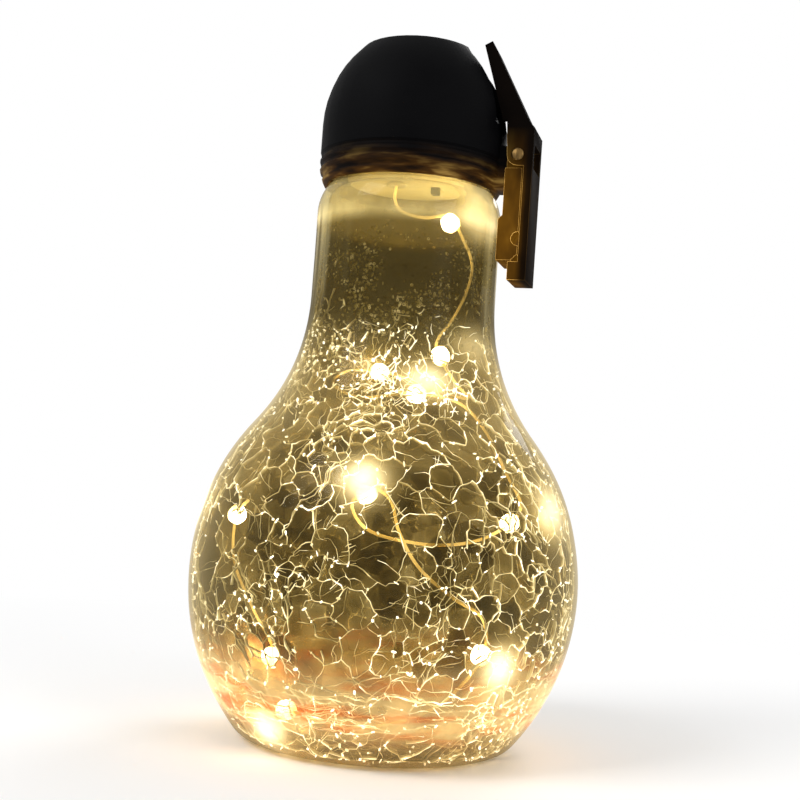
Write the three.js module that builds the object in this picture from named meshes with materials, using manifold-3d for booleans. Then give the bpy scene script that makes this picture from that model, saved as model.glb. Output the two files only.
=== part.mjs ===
// Solar bulb light: a crackle glass bulb with a screw-on solar cap, a peg clip and a string of lights inside.
// Millimetres, +Z up, the middle of the glass base at the origin, the clip on the +X side.
import * as THREE from "three";
import { mergeVertices } from "three/addons/utils/BufferGeometryUtils.js";
import Module from "manifold-3d";

const wasm = await Module();
wasm.setup();

// Room left between pieces
const seatGap = 0.3;
const pinGap = 0.15;
const plugGap = 0.5;
const threadRoom = 0.5;

// Glass bulb
const bulbRadius = 45;
const bellyArc = 55;
const bellyHeight = 37.2;
const heelArc = 7;
const innerHeelArc = 9;
const puntRadius = 18;
const puntDepth = 2;
const floorThickness = 3;
const glassWall = 2.4;
const neckRadius = 21.7;
const flareArc = 48;
const neckTop = 122.2;
const finishRadius = 18.7;
const finishWall = 3;
const finishHeight = 11;
const shoulderRise = 6.2;
const shoulderProud = 1;

// Screw thread of the glass and the cap
const threadPitch = 4;
const threadProud = 0.7;
const threadThickness = 1.5;
const threadStart = 3.8;
const glassTurns = 1.25;
const turnSteps = 36;
const capTurns = 1;

// Cap
const capWall = 2.1;
const capEdgeRise = 0.4;
const capHeight = 33.4;
const tuckHeight = 4.5;
const tuckArc = 8.4;
const skirtHeight = 14.2;
const domeArc = 26;
const domeWall = 2;
const topEdge = 0.8;
const grooveDepth = 0.5;
const grooveWidth = 1.6;
const grooveHeights = [2, 4.3, 6.6];
const ceilingThickness = 1.3;

// Solar panel
const panelRadius = 11.4;
const panelBoardThickness = 0.7;
const cellThickness = 0.2;
const cellWidth = 4.2;
const cellPitch = 4.8;
const cellCount = 4;
const coverThickness = 0.7;

// Plug housing under the cap
const sealThickness = 1;
const flangeThickness = 1.6;
const plugDepth = 10.8;
const plugWall = 1.6;
const plugFloor = 1.4;
const ledgeWidth = 1;
const ledgeRise = 4.2;

// Cap screws
const screwAngles = [50, 180, 310];
const screwRadius = 0.9;
const screwHeadRadius = 1.8;
const screwHeadHeight = 1;
const screwLength = 7;
const bossRadius = 2.2;
const bossRib = 1.5;
const ribSunk = 0.7;
const bossHeight = 7.5;

// Rechargeable cell and its contacts
const batteryRadius = 5.1;
const batteryLength = 28;
const nubRadius = 1.9;
const nubLength = 0.9;
const batteryOffset = -3;
const contactThickness = 0.4;
const contactWidth = 6;
const contactHeight = 6;
const springWire = 0.25;
const springTurns = 2.5;
const springLength = 1.5;
const springRadius = 2.6;
const postThickness = 1.1;

// Circuit board and switch
const boardThickness = 1.2;
const switchX = 5.5;
const switchY = 2;
const switchLength = 8.6;
const switchWidth = 4;
const knobLength = 2.6;
const knobWidth = 1.8;
const knobTravel = 2.4;
const knobProud = 1.5;
const knobDepth = 1.6;

// Driver chip, coil and inner leads
const chipWidth = 4.2;
const chipDepth = 3.2;
const chipHeight = 1.5;
const coilRadius = 1.5;
const coilLength = 6.4;
const leadRadius = 0.5;
const panelLeadX = 8;
const panelLeadY = 3;
const batteryLeadX = 4.5;

// Light string
const wireRadius = 0.35;
const stringSteps = 78;
const lightCount = 10;
const firstLight = 4;
const lightStride = 8;
const lightRadius = 2.1;
const lightLength = 4.6;
const grommetFlange = 0.7;
const grommetRadius = 2.4;
const grommetNeck = 1.6;
const stringRoute = [
  [-2.6, -3.8, 135.5], [-2.6, -3.8, 132.4], [-2.6, -3.8, 129.2], [-2.7, -4.2, 126.5], [-0.4, -6.3, 123],
  [5.6, -7.3, 121.2], [11, -4.3, 122.2], [13.9, -3, 117.5], [15.3, 3.1, 112.5], [12.8, 10.2, 106.5],
  [10.3, 7.9, 99.5], [9.2, 0.4, 94.5], [10.5, -6, 90.5], [14.5, -3.9, 84], [15.6, 7.3, 81],
  [6.5, 16.2, 83], [-6.5, 14.8, 86.7], [-14, 6.1, 86], [-14.1, -5.3, 82], [-4.6, -13.7, 78.5],
  [7.9, -15.5, 80], [17.6, -9.8, 78.5], [23.1, -3.1, 72], [27.3, 0.6, 63.5], [31.3, -0.9, 57],
  [30.6, -7.9, 53], [24.6, -18.3, 48.5], [14.8, -28.1, 47.5], [4, -33.2, 50.2], [0.9, -33.1, 55],
  [4.1, -31.8, 58.6], [8.7, -32, 56.5], [11.5, -33.4, 50], [15.9, -32.5, 43], [22.7, -28.6, 37],
  [28.5, -23.4, 32.5], [28.8, -22.3, 25], [19.8, -25.7, 13.5], [4.3, -27.8, 8], [-13.6, -26.4, 9.8],
  [-26.6, -16.5, 9.5], [-31.3, 0.9, 10], [-30.5, 13.6, 15.4], [-35.2, 9.7, 26], [-37.1, -0.6, 38],
  [-31.8, -14.7, 50.6], [-27.1, -20.7, 53.5],
];

// Peg clip on the side of the cap
const clipWidth = 12;
const pivotOut = 4.2;
const pivotUp = 7.7;
const knuckleRadius = 2.5;
const knuckleHalf = 4;
const springHalf = 2.1;
const pivotPinRadius = 0.9;
const rivetRadius = 1.5;
const rivetHeight = 0.6;
const padRise = 1.2;
const tongueDepth = 1.7;
const tongueWidth = 6;
const tongueHeight = 2.7;
const armOut = 1.5;
const armThickness = 2;
const armReach = 28.9;
const hookHeight = 4.2;
const hookDepth = 2.3;
const jawRoom = 0.9;
const jawLedge = 14;
const jawChamfer = 1.4;
const ropeRadius = 1.6;
const ropeRise = 5;
const bendRise = 7.5;
const leverStep = 1.1;
const leverTilt = 27.5;
const leverLength = 21.6;
const cheekRise = 8.1;
const cheekRoom = 0.2;
const leverSwing = 9;
const pegWire = 0.3;
const pegCoil = 1.65;
const pegTurns = 4;
const pegPitch = 0.72;
const pegLeg = 7;

// Heights that follow from the sizes above
const shoulderTop = neckTop + shoulderRise;
const rimHeight = shoulderTop + finishHeight;
const boreRadius = finishRadius - finishWall;
const capEdge = shoulderTop + capEdgeRise;
const capTop = capEdge + capHeight;
const capBore = finishRadius + threadProud + threadRoom;
const capRadius = capBore + capWall;
const domeBase = capEdge + skirtHeight;
const flangeBottom = rimHeight + sealThickness + 2 * seatGap;
const flangeTop = flangeBottom + flangeThickness;
const plugRadius = boreRadius - plugGap;
const plugBottom = flangeBottom - plugDepth;
const plugFloorTop = plugBottom + plugFloor;
const plugInner = plugRadius - plugWall;
const ledgeHeight = plugFloorTop + ledgeRise;
const boardBottom = ledgeHeight + seatGap;
const boardTop = boardBottom + boardThickness;
const batteryHeight = flangeTop + seatGap + batteryRadius;
const recessFloor = capTop - coverThickness - cellThickness - panelBoardThickness - 3 * seatGap;
const ceilingHeight = recessFloor - ceilingThickness;
const bossCentre = capBore - 2 * seatGap - pinGap - screwHeadRadius;
const pivotX = capRadius + pivotOut;
const pivotZ = capEdge + pivotUp;
const padFace = capRadius + padRise;
const armInner = pivotX + armOut;
const armOuter = armInner + armThickness;
const hookBottom = pivotZ - armReach;
const hookTop = hookBottom + hookHeight;
const jawBottom = hookTop + seatGap;
const jawFront = armInner - seatGap;
const tilt = THREE.MathUtils.degToRad(leverTilt);

const parts = new THREE.Group();

function look(color, roughness, metalness = 0) {
  return new THREE.MeshStandardMaterial({ color, roughness, metalness });
}

function piece(name, geometry, material) {
  const mesh = new THREE.Mesh(geometry, material);
  mesh.name = name;
  parts.add(mesh);
  return mesh;
}

function solid(geometry) {
  const bare = geometry.clone();
  bare.deleteAttribute("normal");
  bare.deleteAttribute("uv");
  const merged = mergeVertices(bare, 1e-4);
  const mesh = new wasm.Mesh({
    numProp: 3,
    vertProperties: new Float32Array(merged.attributes.position.array),
    triVerts: new Uint32Array(merged.index.array),
  });
  return new wasm.Manifold(mesh);
}

function surface(body) {
  const mesh = body.getMesh();
  const geometry = new THREE.BufferGeometry();
  geometry.setAttribute("position", new THREE.BufferAttribute(mesh.vertProperties, 3));
  geometry.setIndex(new THREE.BufferAttribute(mesh.triVerts, 1));
  geometry.computeVertexNormals();
  return geometry;
}

function fuse(first, ...others) {
  return surface(others.reduce((body, other) => body.add(solid(other)), solid(first)));
}

function carve(first, ...others) {
  return surface(others.reduce((body, other) => body.subtract(solid(other)), solid(first)));
}

function arc(x, y, radius, from, to, count) {
  const points = [];
  for (let i = 0; i <= count; i++) {
    const angle = from + (to - from) * i / count;
    points.push(new THREE.Vector2(x + radius * Math.cos(angle), y + radius * Math.sin(angle)));
  }
  return points;
}

function at(x, y) {
  return new THREE.Vector2(x, y);
}

// A profile of radius and height turned about the vertical axis
function turned(profile, segments) {
  return new THREE.LatheGeometry(profile, segments).rotateX(Math.PI / 2);
}

function ring(inner, outer, bottom, top, segments) {
  const profile = [at(inner, bottom), at(outer, bottom), at(outer, top), at(inner, top), at(inner, bottom)];
  return turned(profile, segments);
}

function disc(radius, bottom, top, segments = 24) {
  return turned([at(0, bottom), at(radius, bottom), at(radius, top), at(0, top)], segments);
}

function block(x0, x1, y0, y1, z0, z1) {
  const box = new THREE.BoxGeometry(x1 - x0, y1 - y0, z1 - z0);
  return box.translate((x0 + x1) / 2, (y0 + y1) / 2, (z0 + z1) / 2);
}

// A round bar along Y
function bar(radius, length, x, y, z, segments = 16) {
  return new THREE.CylinderGeometry(radius, radius, length, segments).translate(x, y, z);
}

// An upright round post
function post(radius, x, y, bottom, top, segments = 16) {
  return disc(radius, bottom, top, segments).translate(x, y, 0);
}

// A side outline of x and z points, as thick as the given width along Y
function sidePlate(outline, width, middle = 0) {
  const plate = new THREE.ExtrudeGeometry(new THREE.Shape(outline), { depth: width, bevelEnabled: false });
  return plate.rotateX(Math.PI / 2).translate(0, middle + width / 2, 0);
}

function circle(radius, sides) {
  return new THREE.Shape(arc(0, 0, radius, 0, 2 * Math.PI, sides).slice(0, sides));
}

function tube(path, radius, steps, sides) {
  return new THREE.ExtrudeGeometry(circle(radius, sides), { extrudePath: path, steps, bevelEnabled: false });
}

function pathThrough(points) {
  return new THREE.CatmullRomCurve3(points.map((p) => new THREE.Vector3(...p)));
}

// A thread rib: its section of radius and height, wound up about the axis
function threadRib(section, turns, start) {
  const steps = Math.round(turns * turnSteps);
  const halfStep = Math.PI / turnSteps;
  const sweep = turns * 2 * Math.PI;
  const settings = { depth: sweep, steps, bevelEnabled: false };
  const straight = new THREE.ExtrudeGeometry(new THREE.Shape(section), settings);
  const position = straight.attributes.position;
  for (let i = 0; i < position.count; i++) {
    const radius = position.getX(i);
    const height = position.getY(i);
    const angle = sweep - position.getZ(i) + halfStep;
    const rise = start + height + threadPitch * angle / (2 * Math.PI);
    position.setXYZ(i, radius * Math.cos(angle), radius * Math.sin(angle), rise);
  }
  return straight;
}

// Glass bulb

function bulbProfile() {
  const bellyX = bulbRadius - bellyArc;
  const flareX = neckRadius + flareArc;
  const reach = bellyArc + flareArc;
  const flareZ = bellyHeight + Math.sqrt(reach ** 2 - (flareX - bellyX) ** 2);
  const meet = Math.atan2(flareZ - bellyHeight, flareX - bellyX);
  const heelX = bellyX + Math.sqrt((bellyArc - heelArc) ** 2 - (bellyHeight - heelArc) ** 2);
  const heelTurn = Math.atan2(heelArc - bellyHeight, heelX - bellyX);
  const puntArc = (puntRadius ** 2 + puntDepth ** 2) / (2 * puntDepth);
  const puntTurn = Math.acos(puntRadius / puntArc);
  const shoulderDrop = neckRadius - finishRadius - shoulderProud;
  const shoulderArc = (shoulderRise ** 2 + shoulderDrop ** 2) / (2 * shoulderDrop);
  const shoulderTurn = Math.asin(shoulderRise / shoulderArc);
  const innerBelly = bellyArc - glassWall;
  const innerFloor = puntDepth + floorThickness;
  const innerHeelZ = innerFloor + innerHeelArc;
  const heelReach = innerBelly - innerHeelArc;
  const innerHeelX = bellyX + Math.sqrt(heelReach ** 2 - (bellyHeight - innerHeelZ) ** 2);
  const innerTurn = Math.atan2(innerHeelZ - bellyHeight, innerHeelX - bellyX);
  const innerShoulder = neckRadius - glassWall - boreRadius;
  return [
    ...arc(0, puntDepth - puntArc, puntArc, Math.PI / 2, puntTurn, 3),
    ...arc(heelX, heelArc, heelArc, -Math.PI / 2, heelTurn, 2),
    ...arc(bellyX, bellyHeight, bellyArc, heelTurn, meet, 9).slice(1),
    ...arc(flareX, flareZ, flareArc, Math.PI + meet, Math.PI, 4).slice(1),
    ...arc(neckRadius - shoulderArc, neckTop, shoulderArc, 0, shoulderTurn, 4),
    at(finishRadius, shoulderTop + seatGap),
    at(finishRadius, rimHeight - seatGap),
    at(finishRadius - seatGap, rimHeight),
    at(boreRadius + seatGap, rimHeight),
    at(boreRadius, rimHeight - seatGap),
    ...arc(boreRadius, shoulderTop - innerShoulder, innerShoulder, Math.PI / 2, 0, 3),
    ...arc(flareX, flareZ, flareArc + glassWall, Math.PI, Math.PI + meet, 4),
    ...arc(bellyX, bellyHeight, innerBelly, meet, innerTurn, 8).slice(1),
    ...arc(innerHeelX, innerHeelZ, innerHeelArc, innerTurn, -Math.PI / 2, 3).slice(1),
    at(0, innerFloor),
  ];
}

function glassBulb() {
  const root = finishRadius - threadProud;
  const crest = finishRadius + threadProud;
  const half = threadThickness / 2;
  const section = [at(root, -half), at(crest, -half / 2), at(crest, half / 2), at(root, half)];
  const rib = threadRib(section, glassTurns, shoulderTop + threadStart);
  return fuse(turned(bulbProfile(), turnSteps), rib);
}

// Cap shell

function leverFace() {
  const along = [-Math.sin(tilt), Math.cos(tilt)];
  const inward = [-Math.cos(tilt), -Math.sin(tilt)];
  const bend = [armOuter - leverStep, pivotZ + bendRise];
  const tip = [bend[0] + leverLength * along[0], bend[1] + leverLength * along[1]];
  const innerTip = [tip[0] + armThickness * inward[0], tip[1] + armThickness * inward[1]];
  const run = (armInner - innerTip[0]) / along[0];
  const innerBend = [armInner, innerTip[1] + run * along[1]];
  const cheekLow = [capRadius + cheekRoom, pivotZ + cheekRise];
  return { bend, tip, innerTip, innerBend, cheekLow };
}

// Where a point of the lever is when the clip is pressed fully open
function pressed(point) {
  const angle = THREE.MathUtils.degToRad(leverSwing);
  const x = point[0] - pivotX;
  const z = point[1] - pivotZ;
  const turnedX = x * Math.cos(angle) - z * Math.sin(angle);
  const turnedZ = x * Math.sin(angle) + z * Math.cos(angle);
  return [pivotX + turnedX, pivotZ + turnedZ];
}

// The space that the pressed lever needs in the side of the dome
function thumbSpace(inset, halfWidth) {
  const { innerTip, cheekLow } = leverFace();
  const low = pressed(cheekLow);
  const high = pressed(innerTip);
  const far = armOuter + leverLength;
  const outline = [
    at(low[0] - inset, low[1]),
    at(far, low[1]),
    at(far, capTop + leverLength),
    at(high[0] - inset, capTop + leverLength),
    at(high[0] - inset, high[1]),
  ];
  return sidePlate(outline, 2 * halfWidth);
}

function capOutline() {
  const tuckX = capRadius - tuckArc;
  const domeX = capRadius - domeArc;
  const skirt = (rise) => tuckX + Math.sqrt(tuckArc ** 2 - Math.max(0, tuckHeight - rise) ** 2);
  const groove = (rise) => [-1 / 2, -1 / 6, 1 / 6, 1 / 2].map((part) => {
    const depth = Math.abs(part) < 1 / 3 ? grooveDepth : 0;
    return at(skirt(rise + part * grooveWidth) - depth, capEdge + rise + part * grooveWidth);
  });
  const domeTurn = Math.asin((capHeight - skirtHeight - topEdge) / domeArc);
  const edge = arc(domeX, domeBase, domeArc, 0, domeTurn, 7);
  const shoulder = edge[edge.length - 1];
  return [
    at(0, capEdge),
    at(skirt(0), capEdge),
    ...grooveHeights.flatMap(groove),
    ...edge,
    at(shoulder.x - topEdge, capTop),
    at(0, capTop),
  ];
}

function capChamber() {
  const domeX = capRadius - domeArc;
  const inner = domeArc - domeWall;
  const top = Math.asin((ceilingHeight - domeBase) / inner);
  const space = turned([
    at(0, capEdge - 1),
    at(capBore, capEdge - 1),
    at(capBore, flangeTop + seatGap),
    ...arc(domeX, domeBase, inner, Math.asin((flangeTop + 2 * seatGap - domeBase) / inner), top, 5),
    at(0, ceilingHeight),
  ], turnSteps);
  return carve(space, thumbSpace(seatGap + domeWall, capRadius));
}

function screwPlaces() {
  return screwAngles.map((angle) => {
    const turn = THREE.MathUtils.degToRad(angle);
    return [bossCentre * Math.cos(turn), bossCentre * Math.sin(turn)];
  });
}

// A post for one cap screw, with a rib to the wall
function screwBoss(angle) {
  const low = flangeTop + seatGap;
  const high = low + bossHeight;
  const boss = fuse(post(bossRadius, bossCentre, 0, low, high, 12),
    block(bossCentre, capRadius - domeWall + ribSunk, -bossRib / 2, bossRib / 2, low, high));
  return boss.rotateZ(THREE.MathUtils.degToRad(angle));
}

function tongueSpace(room) {
  const middle = pivotZ - knuckleRadius - 2 * seatGap - tongueHeight / 2 - seatGap;
  const half = tongueWidth / 2 + room;
  return block(padFace - tongueDepth - room, padFace + seatGap + 0.5 - room,
    -half, half, middle - tongueHeight / 2 - room, middle + tongueHeight / 2 + room);
}

function capShell() {
  const bosses = screwAngles.map(screwBoss);
  const screwHoles = screwPlaces().map(([x, y]) =>
    post(screwRadius + pinGap, x, y, flangeTop, flangeBottom + screwLength + seatGap, 10));
  const pad = block(capBore + 0.6, padFace, -knuckleHalf, knuckleHalf, capEdge + 0.5, pivotZ + knuckleRadius);
  const half = threadThickness / 2;
  const crest = finishRadius + seatGap;
  const section = [
    at(crest, -half / 2), at(capBore + 0.4, -half), at(capBore + 0.4, half), at(crest, half / 2),
  ];
  const rib = threadRib(section, capTurns, shoulderTop + threadStart - threadPitch / 2);
  const leadHoles = [-panelLeadY, panelLeadY].map((y) =>
    post(leadRadius + seatGap, panelLeadX, y, ceilingHeight - 1, capTop, 10));
  const body = fuse(carve(turned(capOutline(), turnSteps), capChamber()), ...bosses, pad, rib);
  return carve(body,
    disc(panelRadius + seatGap, recessFloor, capTop + 1, 32),
    thumbSpace(seatGap, clipWidth / 2 + 2 * seatGap),
    tongueSpace(seatGap),
    ...screwHoles,
    ...leadHoles);
}

// Solar panel in the top of the cap

function panelStack() {
  const boardLow = recessFloor + seatGap;
  const cellLow = boardLow + panelBoardThickness + seatGap;
  const coverLow = cellLow + cellThickness + seatGap;
  const leadPads = [-panelLeadY, panelLeadY].map((y) =>
    post(leadRadius + seatGap, panelLeadX, y, recessFloor - 1, capTop, 10));
  const board = carve(disc(panelRadius, boardLow, boardLow + panelBoardThickness, 32), ...leadPads);
  piece("panel_board", board, look(0x1d3a24, 0.6));
  for (let i = 0; i < cellCount; i++) {
    const middle = (i - (cellCount - 1) / 2) * cellPitch;
    const far = Math.abs(middle) + cellWidth / 2 + seatGap;
    const half = Math.sqrt(panelRadius ** 2 - far ** 2) - seatGap;
    const cell = block(-half, half, middle - cellWidth / 2, middle + cellWidth / 2,
      cellLow, cellLow + cellThickness);
    piece(`solar_cell_${i + 1}`, cell, look(0x12203f, 0.35, 0.2));
  }
  piece("panel_cover", disc(panelRadius, coverLow, capTop, 32), look(0x26304a, 0.12));
}

// Plug housing with the contact posts

function contactPlaces() {
  const end = batteryLength / 2 + seatGap;
  return {
    plateLow: end,
    platePost: end + contactThickness + seatGap,
    springEnd: end + springLength + 2 * springWire,
    springPost: end + springLength + 2 * springWire + seatGap,
  };
}

function plugHousing() {
  const step = plugInner - ledgeWidth;
  const profile = [
    at(0, plugBottom), at(plugRadius - seatGap, plugBottom), at(plugRadius, plugBottom + seatGap),
    at(plugRadius, flangeBottom), at(capBore - seatGap, flangeBottom), at(capBore - seatGap, flangeTop),
    at(plugInner, flangeTop), at(plugInner, ledgeHeight), at(step, ledgeHeight),
    at(step, plugFloorTop), at(0, plugFloorTop),
  ];
  const { platePost, springPost } = contactPlaces();
  const halfPost = contactWidth / 2 - seatGap;
  const x0 = batteryOffset - halfPost;
  const x1 = batteryOffset + halfPost;
  const postTop = flangeTop + contactHeight;
  const plusPost = block(x0, x1, platePost, platePost + postThickness, flangeTop - 0.5, postTop);
  const minusPost = block(x0, x1, -springPost - postThickness, -springPost, flangeTop - 0.5, postTop);
  const screwHoles = screwPlaces().map(([x, y]) => fuse(
    post(screwRadius + pinGap, x, y, flangeBottom - 1, flangeTop + 1, 10),
    post(screwHeadRadius + pinGap, x, y, flangeBottom - 1, flangeBottom + screwHeadHeight + pinGap, 14)));
  const slotX = knobWidth / 2 + seatGap;
  const slotY = knobLength / 2 + seatGap;
  const slot = block(switchX - slotX, switchX + slotX, switchY - slotY, switchY + slotY + knobTravel,
    plugBottom - 1, plugFloorTop + 0.5);
  const [wireX, wireY] = stringRoute[0];
  const wireHole = post(grommetNeck + pinGap, wireX, wireY, plugBottom - 1, plugFloorTop + 0.5, 16);
  return carve(fuse(turned(profile, turnSteps), plusPost, minusPost), ...screwHoles, slot, wireHole);
}

function capScrew() {
  return turned([
    at(0, flangeBottom), at(screwHeadRadius, flangeBottom),
    at(screwHeadRadius, flangeBottom + screwHeadHeight / 3),
    at(screwRadius, flangeBottom + screwHeadHeight),
    at(screwRadius, flangeBottom + screwLength - screwRadius),
    at(0, flangeBottom + screwLength),
  ], 10);
}

// Rechargeable cell lying across the chamber, its plus end toward +Y

function battery() {
  const shoulder = batteryLength / 2 - nubLength;
  const profile = [
    at(0, -batteryLength / 2), at(batteryRadius - 0.4, -batteryLength / 2),
    at(batteryRadius, 0.4 - batteryLength / 2),
    at(batteryRadius, shoulder - 0.4), at(batteryRadius - 0.4, shoulder), at(nubRadius, shoulder),
    at(nubRadius, batteryLength / 2), at(0, batteryLength / 2),
  ];
  return new THREE.LatheGeometry(profile, 24).translate(batteryOffset, 0, batteryHeight);
}

function plusContact() {
  const { plateLow } = contactPlaces();
  const half = contactWidth / 2;
  return block(batteryOffset - half, batteryOffset + half, plateLow, plateLow + contactThickness,
    flangeTop + seatGap, flangeTop + contactHeight);
}

function minusContact() {
  const { springEnd } = contactPlaces();
  const points = [];
  const count = 28;
  for (let i = 0; i <= count; i++) {
    const part = i / count;
    const angle = part * springTurns * 2 * Math.PI;
    const radius = springRadius * (0.45 + 0.55 * part);
    const y = springWire - springEnd + springLength * (1 - part);
    points.push([batteryOffset + radius * Math.cos(angle), y, batteryHeight + radius * Math.sin(angle)]);
  }
  return tube(pathThrough(points), springWire, 44, 6);
}

// Circuit board with its parts, and the switch below it

function circuitBoard() {
  const leadX = panelLeadX;
  return carve(disc(plugInner - seatGap, boardBottom, boardTop, 32),
    block(leadX + 2, leadX + 2.6, -0.6, 0.6, boardBottom - 1, boardTop + 1));
}

function switchBody() {
  const low = plugFloorTop + seatGap;
  const middle = switchY + knobTravel / 2;
  const body = block(switchX - switchWidth / 2, switchX + switchWidth / 2,
    middle - switchLength / 2, middle + switchLength / 2, low, ledgeHeight);
  const slotX = knobWidth / 2 + seatGap;
  const slotY = knobLength / 2 + seatGap;
  return carve(body, block(switchX - slotX, switchX + slotX, switchY - slotY, switchY + slotY + knobTravel,
    low - 1, low + knobDepth + seatGap));
}

function switchKnob() {
  return block(switchX - knobWidth / 2, switchX + knobWidth / 2,
    switchY - knobLength / 2, switchY + knobLength / 2,
    plugBottom - knobProud, plugFloorTop + seatGap + knobDepth);
}

function driverChip() {
  const low = boardTop + seatGap;
  const top = at(chipWidth / 2 - 0.4, low + chipHeight);
  const side = [
    at(-chipWidth / 2, low), at(chipWidth / 2, low), at(chipWidth / 2, low + chipHeight / 2),
    top, at(-top.x, top.y), at(-chipWidth / 2, low + chipHeight / 2),
  ];
  return sidePlate(side, chipDepth).translate(-4, -7, 0);
}

function chokeCoil() {
  const waist = coilRadius * 0.8;
  const end = coilLength / 2;
  const profile = [
    at(0, -end), at(waist, -end), at(coilRadius, -end * 0.8), at(coilRadius, -end * 0.5),
    at(waist, -end * 0.35),
    at(waist, end * 0.35), at(coilRadius, end * 0.5), at(coilRadius, end * 0.8), at(waist, end), at(0, end),
  ];
  const coil = new THREE.LatheGeometry(profile, 14).rotateZ(Math.PI / 2);
  return coil.translate(-4, 6, boardTop + seatGap + coilRadius);
}

function panelLead(side) {
  const y = side * panelLeadY;
  const top = recessFloor + seatGap + panelBoardThickness;
  const middle = (boardTop + top) / 2;
  const path = pathThrough([
    [panelLeadX, y, top], [panelLeadX, y, top - 5], [panelLeadX + 1, y * 1.3, middle],
    [panelLeadX, y, boardTop + 4], [panelLeadX, y, boardTop + seatGap],
  ]);
  return tube(path, leadRadius, 12, 8);
}

function batteryLead(side) {
  const end = side > 0 ? contactPlaces().plateLow : contactPlaces().springEnd;
  const start = batteryOffset + contactWidth / 2 + seatGap;
  const rise = flangeTop + seatGap + leadRadius;
  const path = pathThrough([
    [start, side * end, rise + 1], [start + 2, side * end, rise + 0.8],
    [batteryLeadX, side * (end - 2.5), rise + 0.5],
    [batteryLeadX, side * (plugInner - 4.5), flangeTop - 1],
    [batteryLeadX, side * (plugInner - 5), boardTop + seatGap],
  ]);
  return tube(path, leadRadius, 14, 8);
}

// Light string

function wireGrommet() {
  const bore = wireRadius + seatGap;
  const flangeTopSide = plugBottom - seatGap;
  const [x, y] = stringRoute[0];
  const profile = [
    at(bore, flangeTopSide - grommetFlange), at(grommetRadius - 0.3, flangeTopSide - grommetFlange),
    at(grommetRadius, flangeTopSide - grommetFlange + 0.3), at(grommetRadius, flangeTopSide),
    at(grommetNeck, flangeTopSide), at(grommetNeck, plugFloorTop + 0.6), at(bore, plugFloorTop + 0.6),
    at(bore, flangeTopSide - grommetFlange),
  ];
  return turned(profile, 16).translate(x, y, 0);
}

function lightBead() {
  const bore = wireRadius + seatGap;
  const half = lightLength / 2;
  const outside = [];
  for (let i = 0; i <= 6; i++) {
    const across = -1 + 2 * i / 6;
    outside.push(at(bore + 0.15 + (lightRadius - bore - 0.15) * Math.sqrt(1 - across ** 2), across * half));
  }
  const profile = [at(bore, -half), ...outside, at(bore, half), at(bore, -half)];
  return new THREE.LatheGeometry(profile, 10);
}

function lightString() {
  const path = pathThrough(stringRoute);
  piece("string_wire", tube(path, wireRadius, stringSteps, 8), look(0xb98b3a, 0.35, 0.8));
  const places = path.getSpacedPoints(stringSteps);
  for (let i = 0; i < lightCount; i++) {
    const step = firstLight + i * lightStride;
    const along = places[step + 1].clone().sub(places[step]);
    const bead = piece(`led_bead_${i + 1}`, lightBead(), look(0xfff1c8, 0.25));
    bead.position.copy(places[step]).addScaledVector(along, 0.5);
    bead.quaternion.setFromUnitVectors(new THREE.Vector3(0, 1, 0), along.normalize());
  }
}

// Peg clip

function clipJaw() {
  const bodyTop = pivotZ - knuckleRadius - 2 * seatGap;
  const back = padFace + seatGap;
  const lowBack = neckRadius + jawRoom;
  const ledge = pivotZ - jawLedge;
  const body = sidePlate([
    at(lowBack, jawBottom), at(jawFront - jawChamfer, jawBottom), at(jawFront, jawBottom + jawChamfer),
    at(jawFront, bodyTop), at(back, bodyTop), at(back, ledge), at(lowBack, ledge - (back - lowBack)),
  ], clipWidth);
  const knuckleWidth = knuckleHalf - springHalf;
  const knuckles = [-1, 1].map((side) => {
    const middle = side * (knuckleHalf + springHalf) / 2;
    return fuse(bar(knuckleRadius, knuckleWidth, pivotX, middle, pivotZ),
      block(back, pivotX + knuckleRadius / 2, middle - knuckleWidth / 2, middle + knuckleWidth / 2,
        bodyTop - 0.5, pivotZ));
  });
  const groove = bar(ropeRadius, clipWidth + 2, jawFront, 0, jawBottom + ropeRise);
  const pinHole = bar(pivotPinRadius + pinGap, clipWidth + 2, pivotX, 0, pivotZ);
  return carve(fuse(body, ...knuckles, tongueSpace(0)), groove, pinHole);
}

function clipArm() {
  const { bend, tip, innerTip, innerBend, cheekLow } = leverFace();
  const plate = sidePlate([
    at(armInner - hookDepth, hookBottom), at(armOuter, hookBottom), at(armOuter, bend[1] - leverStep),
    at(...bend),
    at(...tip), at(...innerTip), at(...innerBend), at(armInner, hookTop), at(armInner - hookDepth, hookTop),
  ], clipWidth);
  const cheek = [
    at((tip[0] + innerTip[0]) / 2, (tip[1] + innerTip[1]) / 2), at(...innerTip), at(...cheekLow),
    at(padFace, cheekLow[1]),
    at(pivotX - knuckleRadius, pivotZ), at(pivotX, pivotZ - knuckleRadius),
    at(armInner + 0.5, pivotZ - knuckleRadius),
    at(armInner + 0.5, innerBend[1]),
  ];
  const earHalf = knuckleHalf + seatGap;
  const earWidth = clipWidth / 2 - earHalf;
  const open = knuckleRadius + seatGap;
  const window = block(armInner - 1, armOuter + 1, -earHalf, earHalf, pivotZ - open, pivotZ + open);
  const ears = [-1, 1].map((side) => {
    const middle = side * (earHalf + clipWidth / 2) / 2;
    return fuse(bar(knuckleRadius, earWidth, pivotX, middle, pivotZ), sidePlate(cheek, earWidth, middle));
  });
  const pinHole = bar(pivotPinRadius + pinGap, clipWidth + 2, pivotX, 0, pivotZ);
  return carve(fuse(carve(plate, window), ...ears), pinHole);
}

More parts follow.
